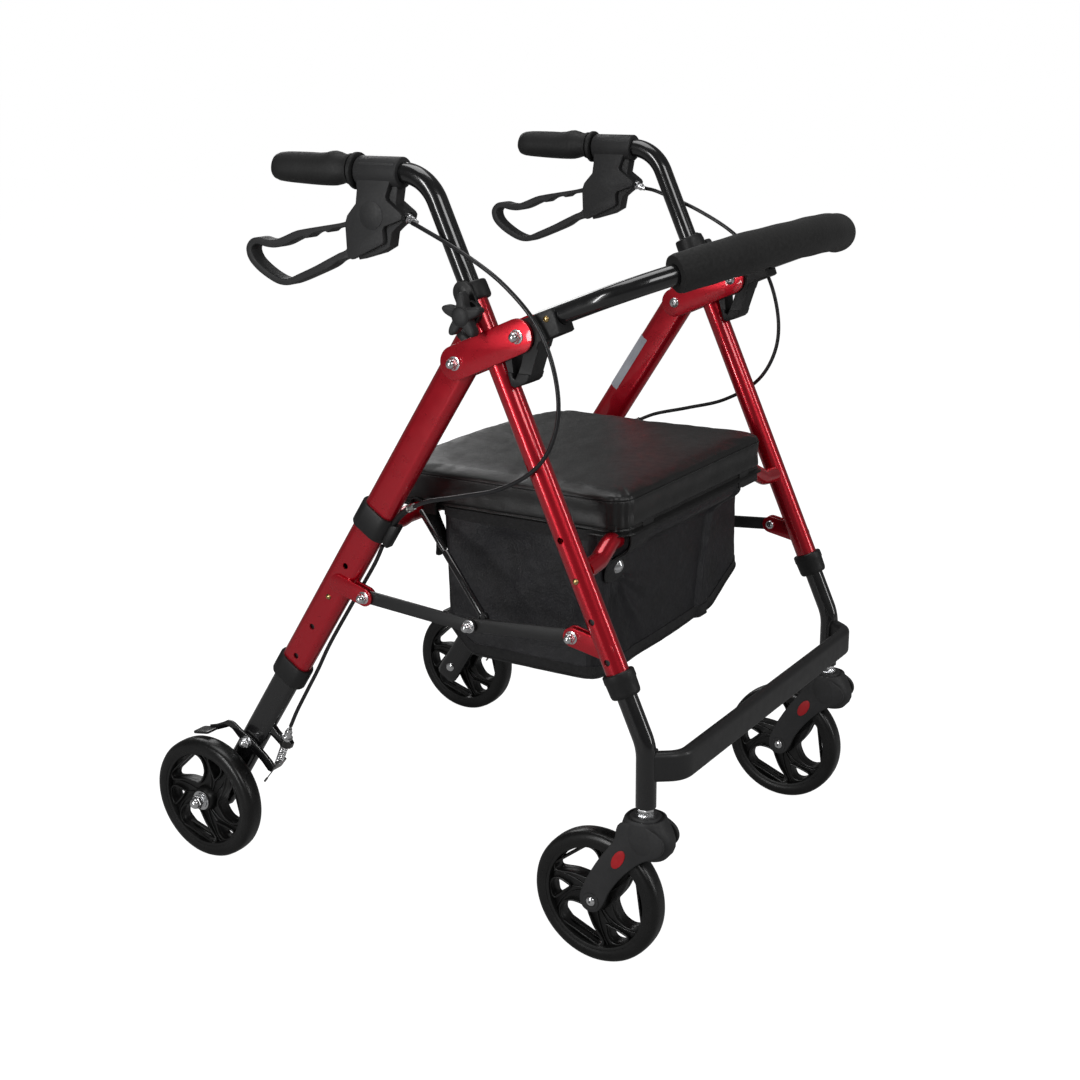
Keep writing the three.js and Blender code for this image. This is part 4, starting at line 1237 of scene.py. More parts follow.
def blank_label():
    """The plain silver sticker round the rear edge of the far rear leg."""
    outline = []
    reach, radius = 10, 10
    for offset in (6.5, 8.2):
        outline.append((-radius, offset))
    for i in range(7):
        angle = math.radians(180 - 11 * i)
        outline.append((radius * math.cos(angle), reach + radius * math.sin(angle)))
    back = Vector((0, math.cos(REAR_TILT), math.sin(REAR_TILT)))
    shape = Shape()
    levels = (67, 149)
    for lift in (0.15, 0.45):
        for t in levels:
            for u, v in outline:
                grow = 1 + lift / radius
                shape.verts.append(rear_point(t) + X_AXIS * (u * grow) + back * (reach + (v - reach) * grow))
    count = len(outline)
    for i in range(count - 1):
        for base in (0, 2 * count):
            shape.faces.append([base + i, base + i + 1, base + count + i + 1, base + count + i])
        for base in (0, count):
            shape.faces.append([base + i, base + i + 1, base + 2 * count + i + 1, base + 2 * count + i])
    for i in (0, count - 1):
        shape.faces.append([i, i + count, i + 3 * count, i + 2 * count])
    make("rear_leg_label", shape, "label", "rear_frame", LEFT)


def rear_seat_bar():
    end = LEG_X - 8
    path = rounded_path([
        (-end, 274, 467), (-218, 274, 451), (-200, 276, 453), (200, 276, 453), (218, 274, 451),
        (end, 274, 467),
    ], 16, 6)
    make(
        "rear_seat_bar_tube", tube(path, SEAT_BAR_R, None, 36), "red", "rear_frame",
        replaces=["rear_seat_bar"],
    )


def rear_extension(side):
    name = SIDE_NAMES[side]
    bar = rear_sweep([
        (EXTENSION_TOP, 1), (EXTENSION_END - 12, 1), (EXTENSION_END - 5, 0.97), (EXTENSION_END - 1.5, 0.86),
        (EXTENSION_END, 0.6),
    ], stadium(34, 15, 14))
    make(f"{name}_extension_bar", bar, "black", f"{name}_extension", side, [f"{name}_rear_extension"])

    stop = plate([[
        (468, 189), (458, 180), (447, 168), (438, 161.5), (429, 162), (425.5, 156.5), (428.5, 150),
        (436, 148.6),
        (444, 152.5), (455, 160.5), (465, 167), (474, 170),
    ]], (LEG_X - 3.5, LEG_X + 3.5), 0.8)
    socket = lathe(CABLE_STOP, STOP_AXIS, [(-6, 0), (-6, 5.4), (-5, 6.2), (4, 6.2), (5, 5.4), (5, 0)], 32)
    make(f"{name}_cable_stop", stop + socket, "black", f"{name}_extension", side)
    barrel = lathe(CABLE_STOP, STOP_AXIS, [
        (5, 0), (5, 6.4), (6, 6.8), (8.5, 6.8), (9, 5.0), (9.6, 4.6), (15.5, 4.6), (16, 3.9), (17.2, 3.9),
        (17.8, 3.4), (18.4, 3.2), (20.5, 3.2), (20.8, 2.4), (20.8, 0),
    ], 24)
    make(f"{name}_barrel_adjuster", barrel, "chrome", f"{name}_extension", side)

    axle = (
        pin((LEG_X - 12, REAR_WHEEL[1], WHEEL_R), 64, PIN_R, 24)
        + lathe((REAR_WHEEL[0] + 14.0, REAR_WHEEL[1], WHEEL_R), X_AXIS, [
            (0, 0), (0, 11.8), (0.4, 12.2), (1.8, 12.2), (2.2, 11.8), (2.2, 8.6), (3.4, 8.6), (3.4, 0),
        ], 48)
        + acorn_nut((REAR_WHEEL[0] + 17.2, REAR_WHEEL[1], WHEEL_R), X_AXIS, 8.6)
        + bolt_head((LEG_X - 7.8, REAR_WHEEL[1], WHEEL_R), -X_AXIS, 6.5)
    )
    make(f"{name}_wheel_axle", axle, "chrome", f"{name}_extension", side, [f"{name}_rear_axle"])
    spacer = lathe((LEG_X + 7.4, REAR_WHEEL[1], WHEEL_R), X_AXIS, [
        (0, 0), (0, 9.4), (1, 10), (6, 10), (7, 8.4), (12.8, 8.2), (12.8, 0),
    ], 32)
    make(f"{name}_axle_spacer", spacer, "dark_plastic", f"{name}_extension", side)

    nut = acorn_nut((LEG_X + 12.2, *BRAKE_PIVOT), X_AXIS, 6.8) \
        + pin((LEG_X + 5, *BRAKE_PIVOT), 9, PIN_R)
    make(f"{name}_brake_pivot_nut", nut, "chrome", f"{name}_extension", side)


def brake(side):
    name = SIDE_NAMES[side]
    x0 = LEG_X + 8.6
    arm = plate([[
        (446.5, 125.5), (452, 117.5), (457, 118.5), (466, 128), (478, 137.5), (492, 146), (502, 152.5),
        (511, 161), (516, 163), (524, 159.5), (535, 155), (546, 153), (548, 158.6), (538, 161.5),
        (527, 166.5),
        (519, 170.8), (513, 171.6), (507, 169.6), (498, 163.5), (486, 157.5), (474, 150), (460, 139.5),
        (451, 131.5),
    ]], (x0, x0 + 3.4), 0.7)
    along = Vector((0, 0.985, -0.17)).normalized()
    up = Vector((0, 0.17, 0.985)).normalized()
    shoe = plate(
        [rounded_box(21, 25, 3, 4)], (-1.5, 1.5), 0.6,
        basis=(Vector((x0 + 12, 546, 155.6)), X_AXIS, along, up),
    )
    tab_u = Vector((0, -0.62, 0.785)).normalized()
    tab_w = Vector((0, 0.785, 0.62)).normalized()
    tab = plate(
        [rounded_box(21, 17, 2.5, 4)], (-1.5, 1.5), 0.5,
        basis=(Vector((x0 - 8, 450.5, 124)), X_AXIS, tab_u, tab_w),
    )
    make(f"{name}_brake_strap", arm + shoe + tab, "black", f"{name}_brake", side, [f"{name}_brake_arm"])

    start = CABLE_STOP - STOP_AXIS * 6
    length = (SPRING_FOOT - start).length
    down = (SPRING_FOOT - start).normalized()
    turns, steps = 9, 16
    coil = []
    for i in range(turns * steps + 1):
        angle = 2 * math.pi * i / steps
        across = X_AXIS * math.cos(angle) + down.cross(X_AXIS) * math.sin(angle)
        coil.append(start + down * (length * i / (turns * steps)) + across * 4.3)
    make(f"{name}_brake_spring", sweep(coil, ring(0.75, sides=8)), "chrome", f"{name}_extension", side)
    wire = sweep([CABLE_STOP, SPRING_FOOT, (SPRING_FOOT + CABLE_TIP) / 2, CABLE_TIP], ring(0.7, sides=10)) \
        + lathe(CABLE_TIP, (CABLE_TIP - SPRING_FOOT), [(-7, 0), (-7, 1.3), (0, 1.4), (1, 0)], 12)
    make(f"{name}_brake_wire", wire, "zinc", f"{name}_extension", side)


# ------------------------------------------------------------------ folding links, lift rods and buttons
ROD_FOOT = Vector((242.3, 146, 366))
ROD_TIP = Vector((203, 255, 461))


def links(side):
    name = SIDE_NAMES[side]
    x0, x1 = FRONT_LINK_X
    front = plate([capsule(LINK_FRONT, LINK_MID, LINK_R)], (x0, x1), 0.9) \
        + pin((x0 - 4.4, ROD_FOOT.y, ROD_FOOT.z), 5, 3)
    make(f"{name}_front_link_bar", front, "satin", f"{name}_front_strut", side, [f"{name}_front_link"])
    head = bolt_head((x0, *LINK_MID), -X_AXIS, 5.6)
    make(f"{name}_link_bolt_head", head, "chrome", f"{name}_front_strut", side)
    x0, x1 = REAR_LINK_X
    rear = plate([capsule(LINK_REAR, LINK_MID, LINK_R)], (x0, x1), 0.9)
    make(f"{name}_rear_link_bar", rear, "satin", f"{name}_rear_strut", side, [f"{name}_rear_link"])
    make(f"{name}_link_nut", acorn_nut((x1, *LINK_MID), X_AXIS, 6.6), "chrome", f"{name}_rear_strut", side)

    def along(u):
        return ROD_FOOT.lerp(ROD_TIP, u)

    sleeve = sweep(
        [along(u) for u in (0.03, 0.05, 0.595, 0.605)], ring(4.1, sides=28), X_AXIS, ring(2.9, sides=28),
        scales=[0.9, 1, 1, 0.9],
    )
    sleeve += lathe((ROD_FOOT.x - 2.2, ROD_FOOT.y, ROD_FOOT.z), X_AXIS, [
        (0, 0), (0, 5.4), (0.5, 6), (3.9, 6), (4.4, 5.4), (4.4, 0),
    ], 28)
    make(f"{name}_lift_sleeve", sleeve, "black", f"{name}_rod_sleeve", side, [f"{name}_lift_rod_lower"])
    stops = (0.1, 0.62, 0.66, 0.985, 1.0)
    rod = sweep([along(u) for u in stops], ring(2.45, sides=24), scales=[1, 1, 1.5, 1.5, 1.1])
    make(f"{name}_lift_rod", rod, "black", f"{name}_rod", side, [f"{name}_lift_rod_upper"])


def button(side, name, x, point, body, node, radius):
    dome = [(-1.6, 0), (-1.6, radius), (0.2, radius)]
    for i in range(1, 7):
        angle = math.pi / 2 * i / 6
        dome.append((0.2 + 1.9 * math.sin(angle), radius * math.cos(angle) if i < 6 else 0))
    make(name, lathe((x, *point), X_AXIS, dome, 24), "brass", body, side, [node])


def buttons(side):
    name = SIDE_NAMES[side]
    button(
        side, f"{name}_front_snap_button", LEG_X + LEG_R, front_axis(FRONT_HOLE_T + FRONT_HOLE_STEP),
        f"{name}_front_latch", f"{name}_front_button", 3.2,
    )
    button(
        side, f"{name}_rear_snap_button", LEG_X + 10, rear_axis(REAR_HOLE_T + REAR_HOLE_STEP),
        f"{name}_rear_latch", f"{name}_rear_button", 3.2,
    )
    spot = backrest_point(0, 22)
    button(
        side, f"{name}_bracket_snap_button", LEG_X + 14.5, (spot.y, spot.z),
        f"{name}_bracket_latch", f"{name}_bracket_button", 3.4,
    )


# ------------------------------------------------------------------ backrest
BOW_R, STRAIGHT = 125, 70
FOAM_END = math.asin(199 / LEG_X)


def bow(angle):
    return backrest_point(LEG_X * math.sin(angle), STRAIGHT + BOW_R * math.cos(angle))


def backrest():
    angles = [1.57 * (2 * i / 96 - 1) for i in range(97)]
    path = [backrest_point(-LEG_X, 4)] + [bow(a) for a in angles] + [backrest_point(LEG_X, 4)]
    make("backrest_bar", tube(path, 10.5, 9, 40, Z_AXIS), "black", "backrest", replaces=["backrest_tube"])
    sections, foam_path = [], []
    steps = 72
    for i in range(steps + 1):
        share = 2 * i / steps - 1
        foam_path.append(bow(FOAM_END * share))
        soft = 20.4 + 0.35 * math.sin(9 * share) + 0.25 * math.sin(23 * share + 1)
        edge = 1 - 0.06 * max(0, (abs(share) - 0.985) / 0.015)
        sections.append(ring(soft * edge, sides=48))
    make(
        "backrest_foam_sleeve", sweep(foam_path, sections, Z_AXIS, ring(10.7, sides=48)), "foam", "backrest",
        replaces=["backrest_foam"],
    )


BRACKET_SIDE = [
    (93, 691), (89.7, 692.9), (50.5, 708.4), (46.5, 706), (38.6, 685.4), (41, 683.2), (63.4, 673.7),
    (76.6, 633.8), (80, 630.5), (92.6, 625.2), (97.2, 626.8), (105.5, 652), (106.3, 660), (104, 672),
]
BRACKET_GAP = [(97.2, 654), (96.6, 659.5), (92, 667), (80.5, 668), (86.2, 648), (91.8, 634), (95, 635.4)]


def backrest_bracket(side):
    name = SIDE_NAMES[side]
    shape = plate([BRACKET_SIDE, BRACKET_GAP], (LEG_X - 14.4, LEG_X + 14.4), 1.2)
    make(
        f"{name}_bracket_body", shape, "dark_plastic", "backrest_hinge", side, [f"{name}_backrest_bracket"],
        cuts=total([
            lathe(front_point(12), FRONT_DOWN, [(0, 0), (0, 13.4), (150, 13.4), (150, 0)], 48),
            block((LEG_X + 12, LEG_X + 20), (66, 110), (640, 715), 0.1),
            block((LEG_X - 20, LEG_X - 12), (66, 110), (640, 715), 0.1),
            sweep([backrest_point(LEG_X, v) for v in (2, 70)], ring(11, sides=40)),
        ]),
    )


# ------------------------------------------------------------------ brake cables, each in three lengths
CABLE_LOOP = [
    (249.5, 221, 783), (255, 203, 778), (261, 150, 757), (264, 100, 729), (265, 60, 690), (264.5, 40, 640),
    (264, 39.5, 592), (263, 62, 549), (262, 108, 519), (260, 160, 503), (257, 205, 491), (251.5, 232, 479),
]
CABLE_SLEEVE = [(251.5, 232, 479), (250, 240, 474.5), (247, 254, 463), (244.6, 266, 448), (243.8, 276, 432)]
CABLE_JOINT = 6
CABLE_STEPS = 8
CABLE_LOWER = [
    (243.6, 279, 427), (242, 292, 404), (242, 314, 370), (242, 359.5, 300), (242, 382, 260), (243, 400, 229),
    (244, 416, 201), (244, 427.5, 178.5),
]


def cable_piece(name, path, side, start, end, replaces=()):
    piece = add_object(name, solid_mesh(name, sweep(path, ring(2.3, sides=16)), side))
    dress(piece, "cable")
    ends = [place(p[0] * side, p[1], p[2]) for p in (start, end)]
    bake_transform(piece)
    if replaces:
        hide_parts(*replaces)


def cables(side):
    name = SIDE_NAMES[side]
    loop = smooth_path(CABLE_LOOP, CABLE_STEPS)
    cut = CABLE_JOINT * CABLE_STEPS
    cable_piece(
        f"{name}_cable_upper", loop[:cut + 1], side, CABLE_LOOP[0], (264, 40, 600),
        [f"{name}_brake_cable"],
    )
    cable_piece(
        f"{name}_cable_middle", loop[cut:], side, (264, 45, 585), CABLE_LOOP[-1],
    )
    lower = smooth_path(CABLE_LOWER, CABLE_STEPS)
    cable_piece(
        f"{name}_cable_lower", lower, side,
        CABLE_LOWER[1], CABLE_LOWER[-1],
    )
    stiff = smooth_path(CABLE_SLEEVE, 6)
    make(f"{name}_cable_sleeve", sweep(stiff, ring(3.5, sides=20)), "dark_plastic", "rear_frame", side)
    along = (Vector((250, 240, 474.5)) - Vector((257, 205, 491))).normalized()
    ferrule = lathe(Vector((252.6, 227, 481.4)), along, [
        (0, 0), (0, 3.2), (0.6, 3.7), (7.5, 3.7), (8.2, 3.1), (8.6, 4.6), (10.2, 4.8), (11.2, 4.2), (11.8, 0),
    ], 24)
    make(f"{name}_cable_ferrule", ferrule, "zinc", "rear_frame", side)


for each in (LEFT, RIGHT):
    rear_leg(each)
    rear_extension(each)
    brake(each)
    links(each)
    buttons(each)
    backrest_bracket(each)
    cables(each)
blank_label()
rear_seat_bar()
backrest()


# ------------------------------------------------------------------ seat cushion
SEAT_HALF, SEAT_FRONT, SEAT_SIDE, SEAT_REAR, SEAT_CORNER = 184, 5, 305, 338, 30
SEAT_BOTTOM, SEAT_TOP, SKIRT = 463, 505, 458
SEAT_CENTER = Vector((0, 168, 0))
LOWER_SEAM, BAND_MIDDLE = 464.6, 481
SIMULATED_FRAMES = 20
SEAT_START_INSET, SEAT_START_TOP, SEAT_SWELL = 3, 501.5, 4


def evenly(points, count):
    """A closed outline walked in count equal steps."""
    closed = [*points, points[0]]
    lengths = [0.0]
    for a, b in zip(closed, closed[1:]):
        lengths.append(lengths[-1] + (b - a).length)
    walked = []
    k = 0
    for i in range(count):
        goal = lengths[-1] * i / count
        while lengths[k + 1] < goal:
            k += 1
        share = (goal - lengths[k]) / (lengths[k + 1] - lengths[k])
        walked.append(closed[k].lerp(closed[k + 1], share))
    return walked


def outward(loop):
    """The outward normals of a counterclockwise outline in the xy plane."""
    count = len(loop)
    normals = []
    for i in range(count):
        along = loop[(i + 1) % count] - loop[i - 1]
        normals.append(Vector((along.y, -along.x, 0)).normalized())
    return normals


def seat_outline(count):
    """The seat seen from above, counterclockwise from the middle of its front edge."""
    half = [Vector((0, SEAT_FRONT, 0))]
    for i in range(13):
        angle = math.radians(-90 + 90 * i / 12)
        half.append(Vector((
            SEAT_HALF - SEAT_CORNER + SEAT_CORNER * math.cos(angle),
            SEAT_FRONT + SEAT_CORNER + SEAT_CORNER * math.sin(angle), 0,
        )))
    a, b, c, d = (Vector((x, y, 0)) for x, y in (
        (SEAT_HALF, SEAT_SIDE - 12), (SEAT_HALF, SEAT_SIDE + 12), (110, SEAT_REAR), (0, SEAT_REAR),
    ))
    for i in range(25):
        t = i / 24
        half.append(a * (1 - t) ** 3 + b * (3 * t * (1 - t) ** 2) + c * (3 * t * t * (1 - t)) + d * t ** 3)
    other = [Vector((-p.x, p.y, 0)) for p in reversed(half[1:-1])]
    return evenly(half + other, count)


def rings_mesh(name, rings):
    """A closed mesh through rings of equal length, with a flat end at the first and a fan at the last."""
    mesh = bpy.data.meshes.new(name)
    count = len(rings[0])
    verts = [place(*p) for one in rings for p in one]
    faces = [list(range(count))[::-1]]
    for r in range(len(rings) - 1):
        for i in range(count):
            j = (i + 1) % count
            faces.append((r * count + i, r * count + j, (r + 1) * count + j, (r + 1) * count + i))
    last = (len(rings) - 1) * count
    middle = sum(rings[-1], Vector()) / count
    verts.append(place(*middle))
    for i in range(count):
        faces.append((last + i, last + (i + 1) % count, len(verts) - 1))
    mesh.from_pydata(verts, [], faces)
    mesh.validate()
    mesh.polygons.foreach_set("use_smooth", [True] * len(mesh.polygons))
    return mesh


def swollen(name, mesh, cap, floor):
    """The mesh swollen by a cloth simulation. No point moves further than cap or sinks below floor (mm)."""
    puff = add_object(name, mesh)
    remesh = puff.modifiers.new("remesh", "REMESH")
    remesh.mode = "VOXEL"
    remesh.voxel_size = 5 * MM
    bake_modifiers(puff)
    before = np.array([v.co for v in puff.data.vertices])
    cloth = puff.modifiers.new("cloth", "CLOTH")
    cloth.settings.use_pressure = True
    cloth.settings.uniform_pressure_force = 4
    cloth.settings.effector_weights.gravity = 0
    cloth.point_cache.frame_start = 1
    cloth.point_cache.frame_end = SIMULATED_FRAMES
    for step in range(1, SIMULATED_FRAMES + 1):
        bpy.context.scene.frame_set(step)
    bake_modifiers(puff)
    after = np.array([v.co for v in puff.data.vertices])
    move = after - before
    length = np.linalg.norm(move, axis=1, keepdims=True)
    move *= np.minimum(1, cap * MM / np.maximum(length, 1e-9))
    after = before + move
    after[:, 2] = np.maximum(after[:, 2], place(0, 0, floor).z)
    puff.data.vertices.foreach_set("co", after.ravel())
    puff.data.update()
    bpy.context.scene.frame_set(1)
    return puff


def seat_cushion():
    count = 520
    loop = seat_outline(count)
    normals = outward(loop)

    def inset_ring(inset, z):
        return [p - n * inset + Z_AXIS * z for p, n in zip(loop, normals)]

    start = [
        inset_ring(SEAT_START_INSET + 7, SKIRT + 0.4), inset_ring(SEAT_START_INSET + 2, SKIRT + 0.8),
        inset_ring(SEAT_START_INSET, SKIRT + 3), inset_ring(SEAT_START_INSET, SEAT_START_TOP - 6),
        inset_ring(SEAT_START_INSET + 1.6, SEAT_START_TOP - 1.6), inset_ring(
            SEAT_START_INSET + 6, SEAT_START_TOP,
        ),
    ]
    for share in (0.75, 0.5, 0.25):
        start.append([SEAT_CENTER.lerp(p, share) + Z_AXIS * (SEAT_START_TOP * (1 - share)) for p in start[5]])
    puff = swollen("seat_puff", rings_mesh("seat_puff", start), SEAT_SWELL, SKIRT)
    tree = BVHTree.FromObject(puff, bpy.context.evaluated_depsgraph_get())

    def skin(origin, target):
        a, b = place(*origin), place(*target)
        hit = tree.ray_cast(a, (b - a).normalized(), (b - a).length)[0]
        spot = hit if hit is not None else b
        return Vector((spot.x / MM, (spot.y - AXLE_Y) / MM, spot.z / MM))

    # rows of the skin: (inset of the probe's target, the target's height, the probe's angle from level)
    shoulder_inset, shoulder_z = 12, 493
    probes = [(30, z, 0) for z in (
        459, 460.2, 461.5, 462.6, 463.5, 464.1, 464.6, 465.1, 465.7, 466.6, 468.5, 471, 474, 477, 481, 485,
        489, 493,
    )]
    probes += [(shoulder_inset, shoulder_z, angle) for angle in (
        8, 15, 21, 24, 26, 28, 30, 32, 35, 40, 46, 53, 61, 70, 80, 90,
    )]
    under = ((12, SEAT_BOTTOM), (9, SEAT_BOTTOM), (5.5, SKIRT), (2.5, SKIRT + 0.2))
    rings = [inset_ring(inset, z) for inset, z in under]
    corner_y = SEAT_FRONT + SEAT_CORNER
    for inset, z, angle in probes:
        one = []
        lean = math.radians(angle)
        for p, n in zip(loop, normals):
            aim = n * math.cos(lean) + Z_AXIS * math.sin(lean)
            target = p - n * inset + Z_AXIS * z
            spot = skin(target + aim * 45, target)
            groove = 1.3 * math.exp(-((spot.z - LOWER_SEAM) / 0.8) ** 2) if angle == 0 else 0.0
            if angle:
                groove += 1.5 * math.exp(-((angle - 28) / 2.6) ** 2)
            band = max(0.0, 1 - abs(spot.z - BAND_MIDDLE) / 11) if angle < 28 else 0.0
            groove += 1.1 * band
            corner = math.exp(-((abs(p.x) - SEAT_HALF + 14) / 18) ** 2 - ((p.y - corner_y + 22) / 26) ** 2)
            ripple = math.sin(math.atan2(p.y - corner_y, abs(p.x) - SEAT_HALF + SEAT_CORNER) * 17)
            groove += 0.8 * corner * ripple * math.cos(lean)
            crumple = noise.noise(Vector((p.x, p.y, z * 1.6)) / 17) * 0.35
            crumple += noise.noise(Vector((p.x, p.y, z)) / 47) * 0.7
            one.append(spot - aim * (groove + crumple * (1 - 0.5 * math.sin(lean))))
        rings.append(one)
        if angle == 15:
            seam_row = one
    rim = rings[-1]
    for i in range(1, 46):
        share = 1 - i / 46
        one = []
        for p in rim:
            spot = SEAT_CENTER.lerp(Vector((p.x, p.y, 0)), share)
            top = skin(spot + Z_AXIS * (SEAT_TOP + 20), spot + Z_AXIS * SEAT_BOTTOM)
            fold = noise.noise(Vector((spot.x, spot.y * 1.6, 3)) / 34) * 0.45 + noise.noise(spot / 90) * 0.9
            top.z += fold * min(1.0, (1 - share) * 5)
            one.append(top)
        rings.append(one)
    skin_mesh = rings_mesh("seat_cushion", rings)
    bpy.data.objects.remove(puff)
    cushion = add_object("seat_cushion", skin_mesh)
    dress(cushion, "vinyl")
    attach(cushion, "seat")
    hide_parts("seat_pad")
    stitches(seam_row, 4.6, 2.7)


def stitches(row, pitch, length):
    """A row of sewing stitches lying on the cushion's side band."""
    count = int(sum((row[i] - row[i - 1]).length for i in range(len(row))) / pitch)
    spots = evenly(row, count * 2)
    shape = Shape()
    for i in range(0, len(spots), 2):
        a, b = spots[i], spots[(i + 1) % len(spots)]
        along = (b - a).normalized()
        out = Vector((along.y, -along.x, 0)).normalized()
        middle = (a + b) / 2 + out * 0.25
        path = [
            middle + along * (length * u) + out * (0.35 * (1 - abs(u) * 3)) for u in (-0.5, -0.3, 0, 0.3, 0.5)
        ]
        shape = shape + sweep(path, ring(0.42, sides=6), Z_AXIS, scales=[0.6, 1, 1, 1, 0.6])
    make("seat_stitching", shape, "thread", "seat")


# ------------------------------------------------------------------ basket
BAG_HALF, BAG_FRONT, BAG_REAR, BAG_TOP, BAG_FLOOR, BAG_CORNER = 181, 45, 245, 461, 290, 15
TAB_X, TAB_END = -141.5, 396


def bag_outline(count):
    points = []
    corners = (
        (BAG_HALF - BAG_CORNER, BAG_FRONT + BAG_CORNER, -90),
        (BAG_HALF - BAG_CORNER, BAG_REAR - BAG_CORNER, 0),
        (-BAG_HALF + BAG_CORNER, BAG_REAR - BAG_CORNER, 90),
        (-BAG_HALF + BAG_CORNER, BAG_FRONT + BAG_CORNER, 180),
    )
    for x, y, start in corners:
        for i in range(9):
            angle = math.radians(start + 90 * i / 8)
            points.append(Vector((x + BAG_CORNER * math.cos(angle), y + BAG_CORNER * math.sin(angle), 0)))
    return evenly(points, count)


def ramp(value):
    value = min(1.0, max(0.0, value))
    return value * value * (3 - 2 * value)


def bag_floor(x, y):
    """Height of the basket's bottom: its rear edge and its front far corner are drawn up."""
    rear = 42 * ramp((y - 196) / 60)
    far = 46 * ramp((x - 88) / 120) * ramp((150 - y) / 100)
    slack = 3.5 * math.cos(math.pi * x / 400) * math.cos(math.pi * (y - 145) / 260)
    return BAG_FLOOR + max(rear, far) - slack


def bag_fold(p, n, z):
    """How far the cloth stands out from its flat panel at a point of the wall, in mm."""
    height = (BAG_TOP - z) / (BAG_TOP - BAG_FLOOR)
    out = 1.2 * noise.noise(Vector((p.x, p.y, z * 0.8)) / 41) + 0.6 * noise.noise(Vector((p.x, p.y, z)) / 17)
    if n.y < -0.6:
        dx, dz = p.x - TAB_X, TAB_END + 8 - z
        reach = math.hypot(dx, dz)
        turn = math.degrees(math.atan2(dz, dx))
        for angle, size in ((24, 4.2), (50, 5.0), (74, 3.6), (104, 2.4)):
            away = (turn - angle) / 8
            out += size * math.exp(-away * away) * ramp(reach / 30) * ramp((170 - reach) / 110)
        crease = p.x - (122 - 46 * height)
        out += 5.0 * ramp((16 - abs(crease)) / 8)
        out -= 2.2 * math.exp(-(crease / 46) ** 2)
        out -= 3 * math.sin(math.pi * min(1.0, height)) * math.cos(math.pi * p.x / 380)
    elif abs(n.x) > 0.6:
        drape = math.sin(math.pi * min(1.0, height)) * math.sin(
            math.pi * (p.y - BAG_FRONT) / (BAG_REAR - BAG_FRONT)
        )
        out -= 4.5 * drape
        slant = (p.y - BAG_FRONT) * 0.8 + (z - BAG_FLOOR) * 0.6
        out += 1.8 * math.sin(slant / 16) * ramp(drape * 2)
    else:
        out -= 4 * math.sin(math.pi * min(1.0, height))
    return out * ramp(height * 7)


def bag_wall(p, n, share):
    """A point of the wall; share runs from 0 at the top hem to 1 at the bottom seam."""
    z = BAG_TOP + (bag_floor(p.x, p.y) + 5 - BAG_TOP) * share
    lean = 5 * share * n.y if n.y > 0.5 else 0
    over_bar = 0
    if n.y < -0.6:
        over_bar = 31 * ramp((z - 416) / 30) * ramp((173 + p.x) / 12) * ramp((160 - p.x) / 50)
    return p + n * (bag_fold(p, n, z) - lean + over_bar) + Z_AXIS * z


def cloth_grid(name, rows, thickness, finish):
    """A sheet through closed rows of points, given its thickness."""
    mesh = bpy.data.meshes.new(name)
    count = len(rows[0])
    faces = []
    for r in range(len(rows) - 1):
        for i in range(count):
            j = (i + 1) % count
            faces.append((r * count + i, (r + 1) * count + i, (r + 1) * count + j, r * count + j))
    mesh.from_pydata([place(*p) for row in rows for p in row], [], faces)
    piece = add_object(name, mesh)
    solid = piece.modifiers.new("cloth", "SOLIDIFY")
    solid.thickness = thickness * MM
    solid.offset = -1
    bake_modifiers(piece)
    piece.data.polygons.foreach_set("use_smooth", [True] * len(piece.data.polygons))
    piece.data.set_sharp_from_angle(angle=SHARP)
    dress(piece, finish)
    return piece


def hang(piece):
    """The basket's cloth keeps its placement, baked into its mesh."""
    place(0, BAG_FRONT + 6, 400)
    place(0, BAG_REAR - 4, 400)
    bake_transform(piece)


def basket():
    count, steps = 380, 56
    loop = bag_outline(count)
    normals = outward(loop)
    rows = [[bag_wall(p, n, i / steps) for p, n in zip(loop, normals)] for i in range(steps + 1)]
    middle = Vector((0, (BAG_FRONT + BAG_REAR) / 2, 0))
    for inset, lift in ((1.5, 3.2), (3.6, 1.4), (6.5, 0.4)):
        rows.append([
            Vector(
                ((p - n * inset).x, (p - n * inset).y, bag_floor(p.x, p.y) + lift)
            ) for p, n in zip(loop, normals)
        ])
    for i in range(1, 25):
        share = 1 - i / 25
        row = []
        for p, n in zip(loop, normals):
            spot = middle.lerp(p - n * 6.5, share)
            spot.z = bag_floor(spot.x, spot.y) + 0.5 * noise.noise(spot / 30)
            row.append(spot)
        rows.append(row)
    bag = cloth_grid("basket_bag", rows, 1.0, "nylon")
    hem_rows = [
        [
            bag_wall(p, n, s) + n * 1.0 + Z_AXIS * 0.6 for p, n in zip(loop, normals)
        ] for s in (0, 0.02, 0.045, 0.07)
    ]
    hem = cloth_grid("basket_top_hem", hem_rows, 2.6, "webbing")
    foot_rows = [
        [bag_wall(p, n, s) + n * 0.8 for p, n in zip(loop, normals)] for s in (0.93, 0.94, 0.965, 0.99, 1.0)
    ]
    foot = cloth_grid("basket_bottom_binding", foot_rows, 1.2, "webbing")
    edge = [bag_wall(p, n, 1.0) + n * 0.6 - Z_AXIS * 0.8 for p, n in zip(loop, normals)]
    piping = add_object("basket_piping", sweep_closed_path(edge, 1.5))
    dress(piping, "webbing")
    for piece in (bag, hem, foot, piping):
        hang(piece)
    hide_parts("basket")
    straps, snaps = basket_straps()


